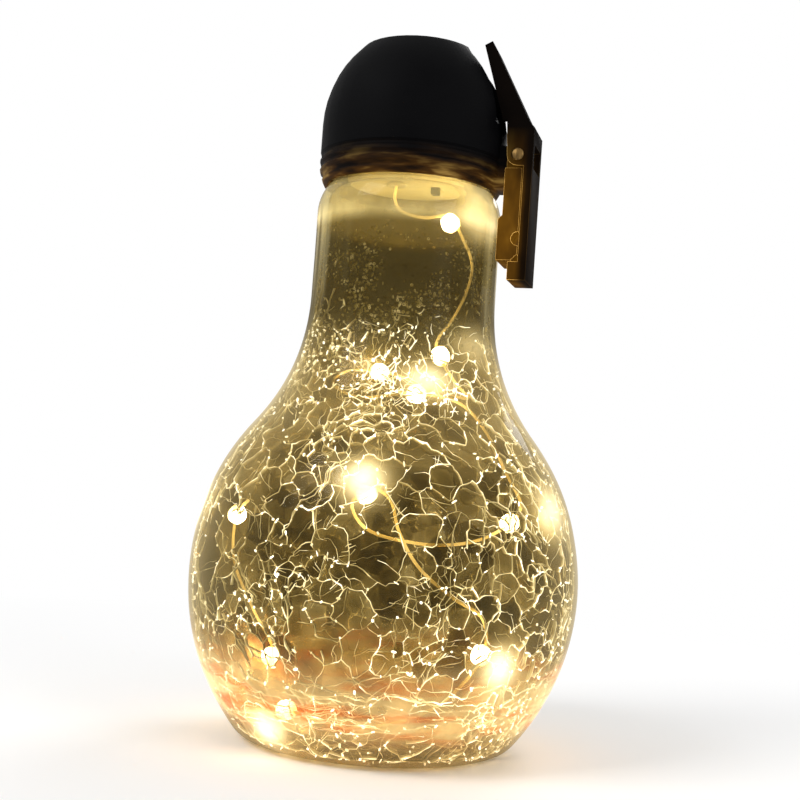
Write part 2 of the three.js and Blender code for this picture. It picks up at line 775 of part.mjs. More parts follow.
function pivotPin() {
  const half = clipWidth / 2 + seatGap;
  const profile = [
    at(0, -half - rivetHeight), at(rivetRadius * 0.7, -half - rivetHeight),
    at(rivetRadius, -half - rivetHeight / 2),
    at(rivetRadius, -half), at(pivotPinRadius, -half), at(pivotPinRadius, half), at(rivetRadius, half),
    at(rivetRadius, half + rivetHeight / 2), at(rivetRadius * 0.7, half + rivetHeight),
    at(0, half + rivetHeight),
  ];
  return new THREE.LatheGeometry(profile, 16).translate(pivotX, 0, pivotZ);
}

function pegSpring() {
  const points = [];
  const first = Math.PI;
  const last = tilt + 2 * Math.PI * pegTurns;
  const width = pegPitch * (last - first) / (2 * Math.PI);
  const bottom = pivotZ - knuckleRadius + pegWire;
  points.push([pivotX - pegCoil, -width / 2, bottom]);
  const count = 40;
  for (let i = 0; i <= count; i++) {
    const angle = first + (last - first) * i / count;
    const y = width * (i / count - 0.5);
    points.push([pivotX + pegCoil * Math.cos(angle), y, pivotZ + pegCoil * Math.sin(angle)]);
  }
  const end = points[points.length - 1];
  const { innerTip } = leverFace();
  const face = (innerTip[0] - pivotX) * Math.cos(tilt) + (innerTip[1] - pivotZ) * Math.sin(tilt);
  const lean = face - seatGap - pegWire - pegCoil;
  for (const far of [0.5, 1]) {
    const out = far * lean;
    points.push([end[0] - far * pegLeg * Math.sin(tilt) + out * Math.cos(tilt), end[1],
      end[2] + far * pegLeg * Math.cos(tilt) + out * Math.sin(tilt)]);
  }
  return tube(pathThrough(points), pegWire, 72, 6);
}

piece("glass_bulb", glassBulb(), look(0x9c8a55, 0.08));
piece("rim_seal", ring(boreRadius + seatGap, finishRadius, rimHeight + seatGap,
  rimHeight + seatGap + sealThickness, 32), look(0xe6e2d2, 0.6));
piece("cap_shell", capShell(), look(0x0d0d0e, 0.45));
panelStack();
piece("plug_housing", plugHousing(), look(0xeeece0, 0.5));
screwPlaces().forEach(([x, y], i) => {
  piece(`cap_screw_${i + 1}`, capScrew(), look(0xa9adb2, 0.35, 0.9)).position.set(x, y, 0);
});
piece("battery", battery(), look(0x2f7d4f, 0.5));
piece("plus_contact", plusContact(), look(0xb9bcc0, 0.35, 0.9));
piece("minus_spring", minusContact(), look(0xb9bcc0, 0.35, 0.9));
piece("circuit_board", circuitBoard(), look(0x1f5a33, 0.55));
piece("switch_body", switchBody(), look(0xa6a9ad, 0.4, 0.8));
piece("switch_knob", switchKnob(), look(0x17181a, 0.5));
piece("driver_chip", driverChip(), look(0x131416, 0.5));
piece("choke_coil", chokeCoil(), look(0x5f8f6a, 0.5));
piece("panel_lead_plus", panelLead(1), look(0xb3261e, 0.5));
piece("panel_lead_minus", panelLead(-1), look(0x151515, 0.5));
piece("battery_lead_plus", batteryLead(1), look(0xb3261e, 0.5));
piece("battery_lead_minus", batteryLead(-1), look(0x151515, 0.5));
piece("wire_grommet", wireGrommet(), look(0xd9d5c6, 0.6));
lightString();
piece("clip_jaw", clipJaw(), look(0x141313, 0.5));
piece("clip_arm", clipArm(), look(0x141313, 0.5));
piece("clip_pin", pivotPin(), look(0xb4b6ba, 0.3, 0.9));
piece("clip_spring", pegSpring(), look(0xb4b6ba, 0.3, 0.9));

export default parts;
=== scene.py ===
import bmesh
import bpy
import random
from functools import partial
from math import acos, asin, atan2, cos, exp, floor, hypot, pi, radians, sin, sqrt
from mathutils import Matrix, Vector, geometry
from mathutils.noise import noise


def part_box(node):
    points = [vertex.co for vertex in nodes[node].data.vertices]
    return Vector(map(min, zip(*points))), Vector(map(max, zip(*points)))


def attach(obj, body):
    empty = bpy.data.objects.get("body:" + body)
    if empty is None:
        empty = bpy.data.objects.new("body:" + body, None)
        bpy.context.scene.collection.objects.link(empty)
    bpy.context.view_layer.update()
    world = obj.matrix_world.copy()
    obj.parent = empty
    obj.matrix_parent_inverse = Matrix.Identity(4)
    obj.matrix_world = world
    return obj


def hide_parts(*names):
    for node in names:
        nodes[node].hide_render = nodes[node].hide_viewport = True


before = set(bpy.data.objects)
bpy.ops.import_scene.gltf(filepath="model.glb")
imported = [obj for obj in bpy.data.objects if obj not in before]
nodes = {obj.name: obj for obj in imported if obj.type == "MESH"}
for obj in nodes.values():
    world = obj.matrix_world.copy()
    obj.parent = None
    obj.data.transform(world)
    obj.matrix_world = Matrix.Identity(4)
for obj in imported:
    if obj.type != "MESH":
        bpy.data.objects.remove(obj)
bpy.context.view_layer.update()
scene = bpy.context.scene
mm = 0.001
print("frame loaded:", len(nodes), "pieces")


def linear(hexText):
    parts = [int(hexText[i:i + 2], 16) / 255 for i in (1, 3, 5)]
    return tuple(c / 12.92 if c <= 0.04045 else ((c + 0.055) / 1.055) ** 2.4 for c in parts) + (1.0,)


def addNode(tree, kind, inputs=None, stops=None, size=None, **settings):
    if kind.isupper():  # a maths node goes by its operation
        kind, settings["operation"] = "Math", kind
    prefixes = ("ShaderNode", "GeometryNode", "FunctionNode", "")
    node = tree.nodes.new(next(p + kind for p in prefixes if hasattr(bpy.types, p + kind)))
    for key, value in settings.items():
        setattr(node, key, value)
    for key, value in (inputs or {}).items():
        if isinstance(value, bpy.types.Node):
            value = value.outputs[0]
        if isinstance(value, bpy.types.NodeSocket):
            tree.links.new(value, node.inputs[key])
        else:
            node.inputs[key].default_value = value
    if size:  # a pattern's real size in mm
        node.inputs["Scale"].default_value = 1 / (size * mm)
    if stops:  # a ramp's places and colours
        elements = node.color_ramp.elements
        while len(elements) < len(stops):
            elements.new(0.5)
        for element, (place, colour) in zip(elements, stops):
            element.position = place
            element.color = linear(colour) if isinstance(colour, str) else (colour, colour, colour, 1)
    return node


def newMaterial(name, look, *values):  # look adds the nodes and gives the surface
    material = bpy.data.materials.new(name)
    material.use_nodes = True
    tree = material.node_tree
    tree.nodes.clear()
    add = partial(addNode, tree)
    place = add("TexCoord").outputs["Object"]
    add("OutputMaterial", {"Surface": look(add, place, *values)})
    return material


def meshPiece(name, vertices, faces, material, smooth=True):
    mesh = bpy.data.meshes.new(name)
    mesh.from_pydata([Vector(v) * mm for v in vertices], [], faces)
    mesh.materials.append(material)
    mesh.polygons.foreach_set("use_smooth", [smooth] * len(mesh.polygons))
    piece = bpy.data.objects.new(name, mesh)
    scene.collection.objects.link(piece)
    return piece


def recalculate(piece):
    work = bmesh.new()
    work.from_mesh(piece.data)
    bmesh.ops.remove_doubles(work, verts=work.verts, dist=1e-6)
    bmesh.ops.recalc_face_normals(work, faces=work.faces)
    work.to_mesh(piece.data)
    work.free()


def turned(profile, segments):
    vertices, faces, rows = [], [], []
    for r, z in profile:
        if r < 1e-6:
            rows.append([len(vertices)] * segments)
            vertices.append((0, 0, z))
        else:
            rows.append(list(range(len(vertices), len(vertices) + segments)))
            for i in range(segments):
                angle = 2 * pi * i / segments
                vertices.append((r * cos(angle), r * sin(angle), z))
    for low, high in zip(rows, rows[1:]):
        for i in range(segments):
            k = (i + 1) % segments
            corner = [low[i], low[k], high[k], high[i]]
            face = [v for n, v in enumerate(corner) if v not in corner[:n]]
            if len(face) > 2:
                faces.append(face)
    return vertices, faces


def arc(x, z, radius, start, end, count):
    return [(x + radius * cos(start + (end - start) * i / count),
             z + radius * sin(start + (end - start) * i / count)) for i in range(count + 1)]


def finished(piece):
    graph = bpy.context.evaluated_depsgraph_get()
    mesh = bpy.data.meshes.new_from_object(piece.evaluated_get(graph))
    old = piece.data
    piece.modifiers.clear()
    piece.data = mesh
    mesh.name = piece.name
    bpy.data.meshes.remove(old)
    return piece


def smoothed(piece, degrees):
    mesh = piece.data
    mesh.polygons.foreach_set("use_smooth", [True] * len(mesh.polygons))
    mesh.set_sharp_from_angle(angle=radians(degrees))


def settle(piece, body, slot, *replaced):
    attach(piece, body)
    if replaced:
        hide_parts(*replaced)
    return piece


rounded = {"merge": 2e-6, "flat": 0.6, "segments": 3, "sharp": 40, "smooth": 35}  # angles in degrees


def refined(node, slot, material, bevel=0, body="cap", edgeMaterial=None):  # a node's solid, edges rounded
    words = node.split("_")
    mesh = nodes[node].data.copy()
    piece = bpy.data.objects.new(words[0] + "".join(word.title() for word in words[1:]), mesh)
    scene.collection.objects.link(piece)
    work = bmesh.new()
    work.from_mesh(mesh)
    bmesh.ops.remove_doubles(work, verts=work.verts, dist=rounded["merge"])
    bmesh.ops.dissolve_limit(work, angle_limit=radians(rounded["flat"]), verts=work.verts, edges=work.edges)
    work.to_mesh(mesh)
    work.free()
    mesh.materials.clear()
    mesh.materials.append(material)
    mesh.polygons.foreach_set("material_index", [0] * len(mesh.polygons))
    if edgeMaterial:
        mesh.materials.append(edgeMaterial)
    if bevel:
        rounding = piece.modifiers.new("edgeRounding", "BEVEL")
        rounding.width = bevel * mm
        rounding.segments = rounded["segments"]
        rounding.limit_method = "ANGLE"
        rounding.angle_limit = radians(rounded["sharp"])
        rounding.use_clamp_overlap = True
        if edgeMaterial:
            rounding.material = 1
        finished(piece)
    smoothed(piece, rounded["smooth"])
    settle(piece, body, slot, node)


def attribute(piece, name, values):
    layer = piece.data.attributes.new(name, "FLOAT", "POINT")
    layer.data.foreach_set("value", values)


def nodeTree(name, **sizes):  # a geometry tree with its named inputs
    tree = bpy.data.node_groups.new(name, "GeometryNodeTree")
    tree.interface.new_socket("Geometry", in_out="INPUT", socket_type="NodeSocketGeometry")
    names = {key: tree.interface.new_socket(key, in_out="INPUT", socket_type="NodeSocket" + kind).identifier
             for key, kind in sizes.items()}
    tree.interface.new_socket("Geometry", in_out="OUTPUT", socket_type="NodeSocketGeometry")
    add = partial(addNode, tree)
    return (tree, names), add, add("NodeGroupInput").outputs


def closeTree(add, result, material):
    real = add("RealizeInstances", {"Geometry": result})
    painted = add("SetMaterial", {"Geometry": real, "Material": material})
    add("NodeGroupOutput", {"Geometry": painted})


def grown(name, group, values, vertices, edges=(), faces=(), **attributes):  # a plain mesh from a tree
    tree, names = group
    mesh = bpy.data.meshes.new(name)
    mesh.from_pydata([Vector(v) * mm for v in vertices], edges, faces)
    piece = bpy.data.objects.new(name, mesh)
    scene.collection.objects.link(piece)
    for key, numbers in attributes.items():
        attribute(piece, key, numbers)
    modifier = piece.modifiers.new("grow", "NODES")
    modifier.node_group = tree
    for key, value in values.items():
        modifier[names[key]] = value
    return finished(piece)


view = {"distance": 0.30567, "azimuth": 15, "height": 0.061, "aim": (0.00087, 0.00023, 0.07927),
        "lens": 58.5, "sensor": 36, "near": 0.01, "roll": 4.05}


def addCamera():
    turn = radians(view["azimuth"])
    place = Vector((view["distance"] * sin(turn), -view["distance"] * cos(turn), view["height"]))
    facing = (Vector(view["aim"]) - place).to_track_quat("-Z", "Y").to_matrix().to_4x4()
    roll = Matrix.Rotation(radians(view["roll"]), 4, "Z")
    data = bpy.data.cameras.new("photoCamera")
    data.lens = view["lens"]
    data.sensor_width = view["sensor"]
    data.clip_start = view["near"]
    camera = bpy.data.objects.new("photoCamera", data)
    camera.matrix_world = Matrix.Translation(place) @ facing @ roll
    scene.collection.objects.link(camera)
    scene.camera = camera


addCamera()
print("camera set")

wire = {
    "diameter": 0.7, "sides": 8, "step": 1.1, "glowReach": 13, "mostGlow": 1.5,
    "route": [
        (-2.6, -3.8, 135.5), (-2.6, -3.8, 132.4), (-2.6, -3.8, 129.2), (-2.7, -4.2, 126.5), (-0.4, -6.3, 123),
        (5.6, -7.3, 121.2), (11, -4.3, 122.2), (13.9, -3, 117.5), (15.3, 3.1, 112.5), (12.8, 10.2, 106.5),
        (10.3, 7.9, 99.5), (9.2, 0.4, 94.5), (10.5, -6, 90.5), (14.5, -3.9, 84), (15.6, 7.3, 81),
        (6.5, 16.2, 83), (-6.5, 14.8, 86.7), (-14, 6.1, 86), (-14.1, -5.3, 82), (-4.6, -13.7, 78.5),
        (7.9, -15.5, 80), (17.6, -9.8, 78.5), (23.1, -3.1, 72), (27.3, 0.6, 63.5), (31.3, -0.9, 57),
        (30.6, -7.9, 53), (24.6, -18.3, 48.5), (14.8, -28.1, 47.5), (4, -33.2, 50.2), (0.9, -33.1, 55),
        (4.1, -31.8, 58.6), (8.7, -32, 56.5), (11.5, -33.4, 50), (15.9, -32.5, 43), (22.7, -28.6, 37),
        (28.5, -23.4, 32.5), (28.8, -22.3, 25), (19.8, -25.7, 13.5), (4.3, -27.8, 8), (-13.6, -26.4, 9.8),
        (-26.6, -16.5, 9.5), (-31.3, 0.9, 10), (-30.5, 13.6, 15.4), (-35.2, 9.7, 26), (-37.1, -0.6, 38),
        (-31.8, -14.7, 50.6), (-27.1, -20.7, 53.5),
    ],
    "exit": (-2.6, -3.8, 129.2), "lights": 10, "dropLength": 4.6, "dropWidth": 4.2, "dropEnd": 0.42,
    "dropRows": 18, "dropSides": 36, "dropUneven": 0.07, "dropGrain": 0.9, "dropCore": 0.6,
}
lightPlaces = [sum(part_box(f"led_bead_{i + 1}"), Vector()) / 2 / mm for i in range(wire["lights"])]


def glowAt(point, reach):
    return sum(exp(-((point - place).length / reach) ** 2) for place in lightPlaces)


def smoothRoute(points, step):
    points = [Vector(p) for p in points]
    ends = [2 * points[0] - points[1]] + points + [2 * points[-1] - points[-2]]
    line = []
    for a, b, c, d in zip(ends, ends[1:], ends[2:], ends[3:]):
        t0, t1, t2 = (sqrt((q - p).length) for p, q in ((a, b), (b, c), (c, d)))
        out = ((b - a) / t0 - (c - a) / (t0 + t1) + (c - b) / t1) * t1
        into = ((c - b) / t1 - (d - b) / (t1 + t2) + (d - c) / t2) * t1
        square, cube = 3 * (c - b) - 2 * out - into, 2 * (b - c) + out + into
        count = max(3, round((c - b).length / step))
        for i in range(count):
            t = i / count
            line.append(b + out * t + square * t * t + cube * t ** 3)
    return line + [points[-1]]


def tubeFaces(count, sides):  # rings of vertices joined in turn and closed at both ends
    faces = [(i + k, i + (k + 1) % sides, i + sides + (k + 1) % sides, i + sides + k)
             for i in range(0, count - sides, sides) for k in range(sides)]
    return faces + [tuple(reversed(range(sides))), tuple(range(count - sides, count))]


def tubeAlong(line, radius, sides):
    vertices = []
    side = Vector((1, 0, 0))
    for i, point in enumerate(line):
        ahead = (line[min(i + 1, len(line) - 1)] - line[max(i - 1, 0)]).normalized()
        side = (side - ahead * side.dot(ahead)).normalized()
        up = ahead.cross(side)
        for k in range(sides):
            angle = 2 * pi * k / sides
            vertices.append(point + radius * (cos(angle) * side + sin(angle) * up))
    return vertices, tubeFaces(len(vertices), sides)


def enamelledCopper(add, place):  # fine copper under clear lacquer: warm metal, with painted light given off brighter beside each light
    streak = add("TexNoise", {"Vector": place, "Detail": 3.0}, size=2.5)
    colour = add("ValToRGB", {"Fac": streak}, [(0.3, "#b48e48"), (0.55, "#dcba6c"), (0.75, "#f0dca0")])
    # painted light: glow is the wire's nearness to the drops and sets its emission
    near = add("Attribute", attribute_name="glow").outputs["Fac"]
    lift = add("MULTIPLY_ADD", {0: near, 1: 3.8, 2: 0.8})
    return add("BsdfPrincipled", {
        "Base Color": colour, "Metallic": 0.7, "Roughness": 0.32, "Emission Color": linear("#fbe2a0"),
        "Emission Strength": lift})


def lightResin(add, _):  # clear resin drop over a lit chip: white hot in the middle, warm at the ends
    core = add("Attribute", attribute_name="core").outputs["Fac"]
    colour = add("ValToRGB", {"Fac": core}, [(0.0, "#ffe6b4"), (0.3, "#fff4d8"), (0.6, "#fffdf6")])
    power = add("MapRange", {"Value": core, "To Min": 26.0, "To Max": 52.0})
    shader = add("BsdfPrincipled", {
        "Base Color": linear("#fff0cc"), "Roughness": 0.18, "Emission Color": colour,
        "Emission Strength": power})
    facing = add("LayerWeight", {"Blend": 0.5}).outputs["Facing"]
    solid = add("MapRange", {"Value": facing, "From Min": 0.75, "To Min": 1.0, "To Max": 0.3})
    clear = add("BsdfTransparent", {"Color": linear("#fff3d8")})
    return add("MixShader", {0: solid, 1: clear, 2: shader})


def addLightString():
    line = smoothRoute(wire["route"], wire["step"])
    vertices, faces = tubeAlong(line, wire["diameter"] / 2, wire["sides"])
    piece = meshPiece("lightWire", vertices, faces, newMaterial("enamelled copper wire", enamelledCopper))
    recalculate(piece)
    # painted light: how near each point of the wire is to the drops
    glow = [min(wire["mostGlow"], glowAt(v.co / mm, wire["glowReach"])) for v in piece.data.vertices]
    attribute(piece, "glow", glow)
    settle(piece, "cap", "enamelled_copper", "string_wire")
    resin = newMaterial("lit clear resin", lightResin)
    half, wide, end = wire["dropLength"] / 2, wire["dropWidth"] / 2, wire["dropEnd"]
    profile = [(0, -half)]
    for n in range(1, wire["dropRows"]):
        along = -1 + 2 * n / wire["dropRows"]
        profile.append((end + (wide - end) * sqrt(max(0, 1 - along ** 2)), half * along))
    drop, faces = turned(profile + [(0, half)], wire["dropSides"])
    for i, place in enumerate(lightPlaces):
        k = min(range(1, len(line) - 1), key=lambda n: (line[n] - place).length)
        ahead = (line[k + 1] - line[k - 1]).normalized()
        turn = Vector((0, 0, 1)).rotation_difference(ahead).to_matrix()
        placed = []
        for v in drop:
            v = Vector(v)
            uneven = 1 + wire["dropUneven"] * noise(v * wire["dropGrain"] + Vector((i * 7, 3, 1)))
            placed.append(place + turn @ Vector((v.x * uneven, v.y * uneven, v.z)))
        bead = meshPiece(f"lightDrop{i + 1}", placed, faces, resin)
        recalculate(bead)
        inside = [1 - abs((v.co / mm - place).dot(ahead)) / half for v in bead.data.vertices]
        attribute(bead, "core", [max(0, share) ** wire["dropCore"] for share in inside])
        settle(bead, "cap", "light_resin", f"led_bead_{i + 1}")


addLightString()

bulb = {
    "segments": 160, "wobble": 0.10, "wobbleSize": 14, "wobbleHeights": (4, 120), "wobbleOutside": 8,
    "crackleTop": 97, "crackleFade": 80,        # the cracks thin out between these heights
    "topSway": 5, "swaySize": 9, "strays": 4,   # the upper height wavers, and some cracks pass it
    "height": 140, "byHeight": {                # colours and shares, by share of the height
        "tint": [(0.0, "#f0e2c6"), (0.16, "#ece6d2"), (0.56, "#e6dfca"), (0.68, "#c2bba2"), (0.75, "#b4ac92"),
                 (0.855, "#b8b096"), (0.885, "#efe7c8")],
        "gold": [(0.0, "#d8b878"), (0.07, "#e6b878"), (0.14, "#e6bc7c"), (0.22, "#c4ad6e"), (0.6, "#bda668"),
                 (0.8, "#a3955f"), (0.87, "#e6d28a")],
        # orange: where the painted reddish reflection falls, round the base
        "orange": [(0.03, 0.0), (0.07, 1.0), (0.13, 1.0), (0.19, 0.0)],
        "haze": [(0.0, 0.1), (0.04, 0.2), (0.065, 0.42), (0.11, 0.38), (0.18, 0.05), (0.42, 0.01),
                 (0.56, 0.09), (0.7, 0.025), (0.84, 0.03), (0.858, 0.28), (0.882, 0.24)],
        # turning: share of the gold edges, partly painted light; neck: where the painted highlight streaks
        # run
        "turning": [(0.0, 0.2), (0.1, 0.44), (0.6, 0.48), (0.7, 0.09), (0.9, 0.14)],
        "neck": [(0.68, 0.0), (0.75, 0.6), (0.85, 0.6), (0.88, 0.0)],
        # painted light given off by height: a lit band under the cap and warm light round the base
        "own": [(0.0, 0.08), (0.04, 0.3), (0.07, 0.8), (0.11, 0.7), (0.18, 0.1), (0.56, 0.25), (0.7, 0.06),
                (0.84, 0.07), (0.858, 0.85), (0.882, 0.1)],
    },
}
wall = {
    "bellyX": -10.0, "bellyZ": 37.2, "belly": 55.0, "heelX": 27.306, "heel": 7.0, "flareX": 69.7,
    "flareZ": 102.445, "flare": 48.0, "neck": 21.7, "neckTop": 122.2, "shoulderRise": 6.2,
    "shoulderRadius": 19.7, "finish": 18.7, "bore": 15.7, "thickness": 2.4, "rim": 139.4, "rimRound": 0.8,
    "punt": 82.0, "puntRadius": 18, "puntRise": 2, "foot": [(18.6, 0.05), (19.6, 0.0), (23, 0.0)],
    "neckRows": (105, 108, 111, 114, 117, 120), "innerFloor": 5.0, "innerHeel": 9.0,
    "innerRows": (122, 119, 115, 111, 107), "floorRows": [(18, 5.0), (12, 4.95), (6, 4.9), (0, 4.9)],
    "finishRows": ((0.5, 0.12), (0, 0.4)), "threadFrom": 131.5, "boreFrom": 131, "tableTop": 121,
}
thread = {"turns": 1.25, "pitch": 4.0, "start": 132.2, "proud": 0.7, "root": 18.2, "steps": 60, "fade": 4,
          "least": 0.02, "flank": 0.75, "heights": (-0.75, -0.55, -0.2, 0.2, 0.55, 0.75)}
glare = {  # painted light on the glass beside each light, a halo given off by the glass
    "strength": 1.5, "width": 3.0, "spread": 0.24, "fall": 12, "veil": 0.05, "veilReach": 14,
    "inNeck": 0.5, "outside": 0.6, "most": 1.4,
}


def outerWall():
    w = wall
    low = atan2(w["heel"] - w["bellyZ"], w["heelX"] - w["bellyX"])
    meet = atan2(w["flareZ"] - w["bellyZ"], w["flareX"] - w["bellyX"])
    punt = acos(w["puntRadius"] / w["punt"])
    drop = w["neck"] - w["shoulderRadius"]
    shoulder = (w["shoulderRise"] ** 2 + drop ** 2) / (2 * drop)
    bend = asin(w["shoulderRise"] / shoulder)
    return (arc(0, w["puntRise"] - w["punt"], w["punt"], pi / 2, punt, 8)
            + w["foot"]
            + arc(w["heelX"], w["heel"], w["heel"], -pi / 2, low, 10)
            + arc(w["bellyX"], w["bellyZ"], w["belly"], low, meet, 52)[1:]
            + arc(w["flareX"], w["flareZ"], w["flare"], pi + meet, pi, 24)[1:]
            + [(w["neck"], z) for z in w["neckRows"]]
            + arc(w["neck"] - shoulder, w["neckTop"], shoulder, 0, bend, 12))


def innerWall():
    w = wall
    belly = w["belly"] - w["thickness"]
    heelZ = w["innerFloor"] + w["innerHeel"]
    heelX = w["bellyX"] + sqrt((belly - w["innerHeel"]) ** 2 - (w["bellyZ"] - heelZ) ** 2)
    low = atan2(heelZ - w["bellyZ"], heelX - w["bellyX"])
    meet = atan2(w["flareZ"] - w["bellyZ"], w["flareX"] - w["bellyX"])
    corner = w["neck"] - w["thickness"] - w["bore"]
    return (arc(w["bore"], w["neckTop"] + w["shoulderRise"] - corner, corner, pi / 2, 0, 8)
            + [(w["neck"] - w["thickness"], z) for z in w["innerRows"]]
            + arc(w["flareX"], w["flareZ"], w["flare"] + w["thickness"], pi, pi + meet, 20)
            + arc(w["bellyX"], w["bellyZ"], belly, meet, low, 44)[1:]
            + arc(heelX, heelZ, w["innerHeel"], low, -pi / 2, 8)[1:]
            + w["floorRows"])


def neckFinish():
    w = wall
    step = w["neckTop"] + w["shoulderRise"]
    curve = w["rimRound"]
    rim = (arc(w["finish"] - curve, w["rim"] - curve, curve, 0, pi / 2, 4)
           + arc(w["bore"] + curve, w["rim"] - curve, curve, pi / 2, pi, 4))
    foot = [(w["finish"] + r, step + z) for r, z in w["finishRows"]] + [(w["finish"], w["threadFrom"])]
    return foot + rim + [(w["bore"], w["boreFrom"])]


def threadRidge():
    vertices = []
    steps, finish, root = thread["steps"], wall["finish"], thread["root"]
    for i in range(steps + 1):
        angle = 2 * pi * thread["turns"] * i / steps
        rise = thread["start"] + thread["pitch"] * thread["turns"] * i / steps
        proud = thread["least"] + thread["proud"] * min(1, i / thread["fade"], (steps - i) / thread["fade"])
        flank, crest = finish + proud * thread["flank"], finish + proud
        for r, z in zip((root, flank, crest, crest, flank, root), thread["heights"]):
            vertices.append((r * cos(angle), r * sin(angle), rise + z))
    return vertices, tubeFaces(len(vertices), len(thread["heights"]))


def wallTable():  # length along the wall and on an unrolled map, radius, height and outward direction
    line = [p for p in outerWall() if p[1] < wall["tableTop"]]
    table, along, mercator = [], 0.0, 0.0
    for (r0, z0), (r1, z1) in zip(line, line[1:]):
        step = hypot(r1 - r0, z1 - z0)
        table.append((along, mercator, r0, z0, (z1 - z0) / step, -(r1 - r0) / step))
        along += step
        mercator += step / max(0.5, (r0 + r1) / 2)
    return table


wallRows = wallTable()


def onWall(key, value):
    low, high = 0, len(wallRows) - 1
    while high - low > 1:
        middle = (low + high) // 2
        if wallRows[middle][key] <= value:
            low = middle
        else:
            high = middle
    a, b = wallRows[low], wallRows[high]
    t = 0 if b[key] == a[key] else min(1, max(0, (value - a[key]) / (b[key] - a[key])))
    return [p + (q - p) * t for p, q in zip(a, b)]


def wallPoint(turn, along, depth):
    _, _, r, z, outR, outZ = onWall(0, along)
    r, z = r - outR * depth, z - outZ * depth
    return Vector((r * cos(turn), r * sin(turn), z))


def nearestWall(place):
    turn = atan2(place.y, place.x)
    return min((place - wallPoint(turn, row[0], wall["thickness"])).length for row in wallRows)


lightGaps = [nearestWall(place) for place in lightPlaces]
print("lights from the glass:", [round(gap, 1) for gap in lightGaps])


def crackFade(place):
    top = bulb["crackleTop"] + bulb["topSway"] * noise(place / bulb["swaySize"])
    return min(1, max(0, (top - place.z) / (top - bulb["crackleFade"])))


def haloAt(point, depth, share=1):  # painted light of each drop on the glass, wider and weaker from further away
    total = 0.0
    for place, gap in zip(lightPlaces, lightGaps):
        away = (point - place).length
        aside = sqrt(max(0.0, away ** 2 - (gap + wall["thickness"] - depth) ** 2))
        patch = exp(-(aside / (glare["width"] + glare["spread"] * gap)) ** 2)
        total += glare["strength"] * patch / (1 + (gap / glare["fall"]) ** 2)
        total += glare["veil"] * exp(-(away / glare["veilReach"]) ** 2)
    total *= 1 if point.z < bulb["crackleFade"] else max(glare["inNeck"], crackFade(point))
    return min(glare["most"], share * total)


def crackleGlass(add, place):  # blown glass with an amber cast: dark where seen through, gold at its edges, and giving off painted light
    height = add("SeparateXYZ", {"Vector": place}).outputs["Z"]
    halo = add("Attribute", attribute_name="halo").outputs["Fac"]
    rise = add("MapRange", {"Value": height, "From Min": 0.0, "From Max": bulb["height"] * mm})
    ramps = {key: add("ValToRGB", {"Fac": rise}, stops) for key, stops in bulb["byHeight"].items()}
    # orange streaks round the base: painted reddish reflection and painted warm light, in colour and in
    # emission
    streak = add("Mapping", {"Vector": place, "Scale": (1, 1, 5)})
    band = add("TexNoise", {"Vector": streak, "Detail": 3.0}, size=15)
    paintedReflectionMask = add("MapRange", {"Value": band, "From Min": 0.48, "From Max": 0.66})
    share = add("MULTIPLY", {0: ramps["orange"], 1: paintedReflectionMask})
    warm = add("Mix", {0: share, 6: ramps["gold"], 7: linear("#e0763c")}, data_type="RGBA").outputs[2]
    # gold where the wall turns away, partly real haze and partly painted light, and painted highlight streaks
    # along the neck
    facing = add("LayerWeight", {"Blend": 0.5}).outputs["Facing"]
    edge = add("POWER", {0: facing, 1: 1.8})
    turning = add("MULTIPLY", {0: edge, 1: ramps["turning"]})
    # painted highlight: streaks stretched up the neck
    upright = add("Mapping", {"Vector": place, "Scale": (1, 1, 0.05)})
    drawn = add("TexNoise", {"Vector": upright, "Detail": 2.0}, size=4.5)
    line = add("MapRange", {"Value": drawn, "From Min": 0.5, "From Max": 0.68})
    strip = add("MULTIPLY", {0: line, 1: ramps["neck"]})
    edgePart = add("MULTIPLY_ADD", {0: strip, 1: edge, 2: turning})
    # how much the glass covers, and how much painted light it gives off: halos, gold edges and a glow by
    # height
    cloud = add("TexNoise", {"Vector": place, "Detail": 4.0, "Roughness": 0.6}, size=9)
    patch = add("MULTIPLY", {0: ramps["haze"], 1: cloud})
    base = add("MULTIPLY_ADD", {0: patch, 1: 1.8, 2: edgePart})
    lit = add("MULTIPLY_ADD", {0: halo, 1: 0.6, 2: base})
    opacity = add("Clamp", {"Value": lit, "Min": 0.006, "Max": 0.95})
    white = add("ValToRGB", {"Fac": halo}, [(0.0, "#e9d088"), (0.4, "#ffeab0"), (1.0, "#fff8e0")])
    # painted light: the halos' colour, turned orange where the painted reflection falls
    glow = add("Mix", {0: share, 6: white, 7: linear("#ff8a40")}, data_type="RGBA").outputs[2]
    rimmed = add("ADD", {0: edgePart, 1: ramps["own"]})
    shine = add("MULTIPLY_ADD", {0: halo, 1: 2.0, 2: rimmed})
    dent = add("TexNoise", {"Vector": place, "Detail": 2.0}, size=5)
    bump = add("Bump", {"Strength": 0.25, "Distance": 0.6 * mm, "Height": dent})
    shader = add("BsdfPrincipled", {
        "Base Color": warm, "Roughness": 0.05, "IOR": 1.5, "Normal": bump, "Emission Color": glow,
        "Emission Strength": shine})
    slant = add("POWER", {0: facing, 1: 3.0})  # a longer way through the wall
    deep = add("Mix", {0: slant, 6: ramps["tint"], 7: linear("#6b6044")}, data_type="RGBA").outputs[2]
    through = add("BsdfTransparent", {"Color": deep})
    return add("MixShader", {0: opacity, 1: through, 2: shader})


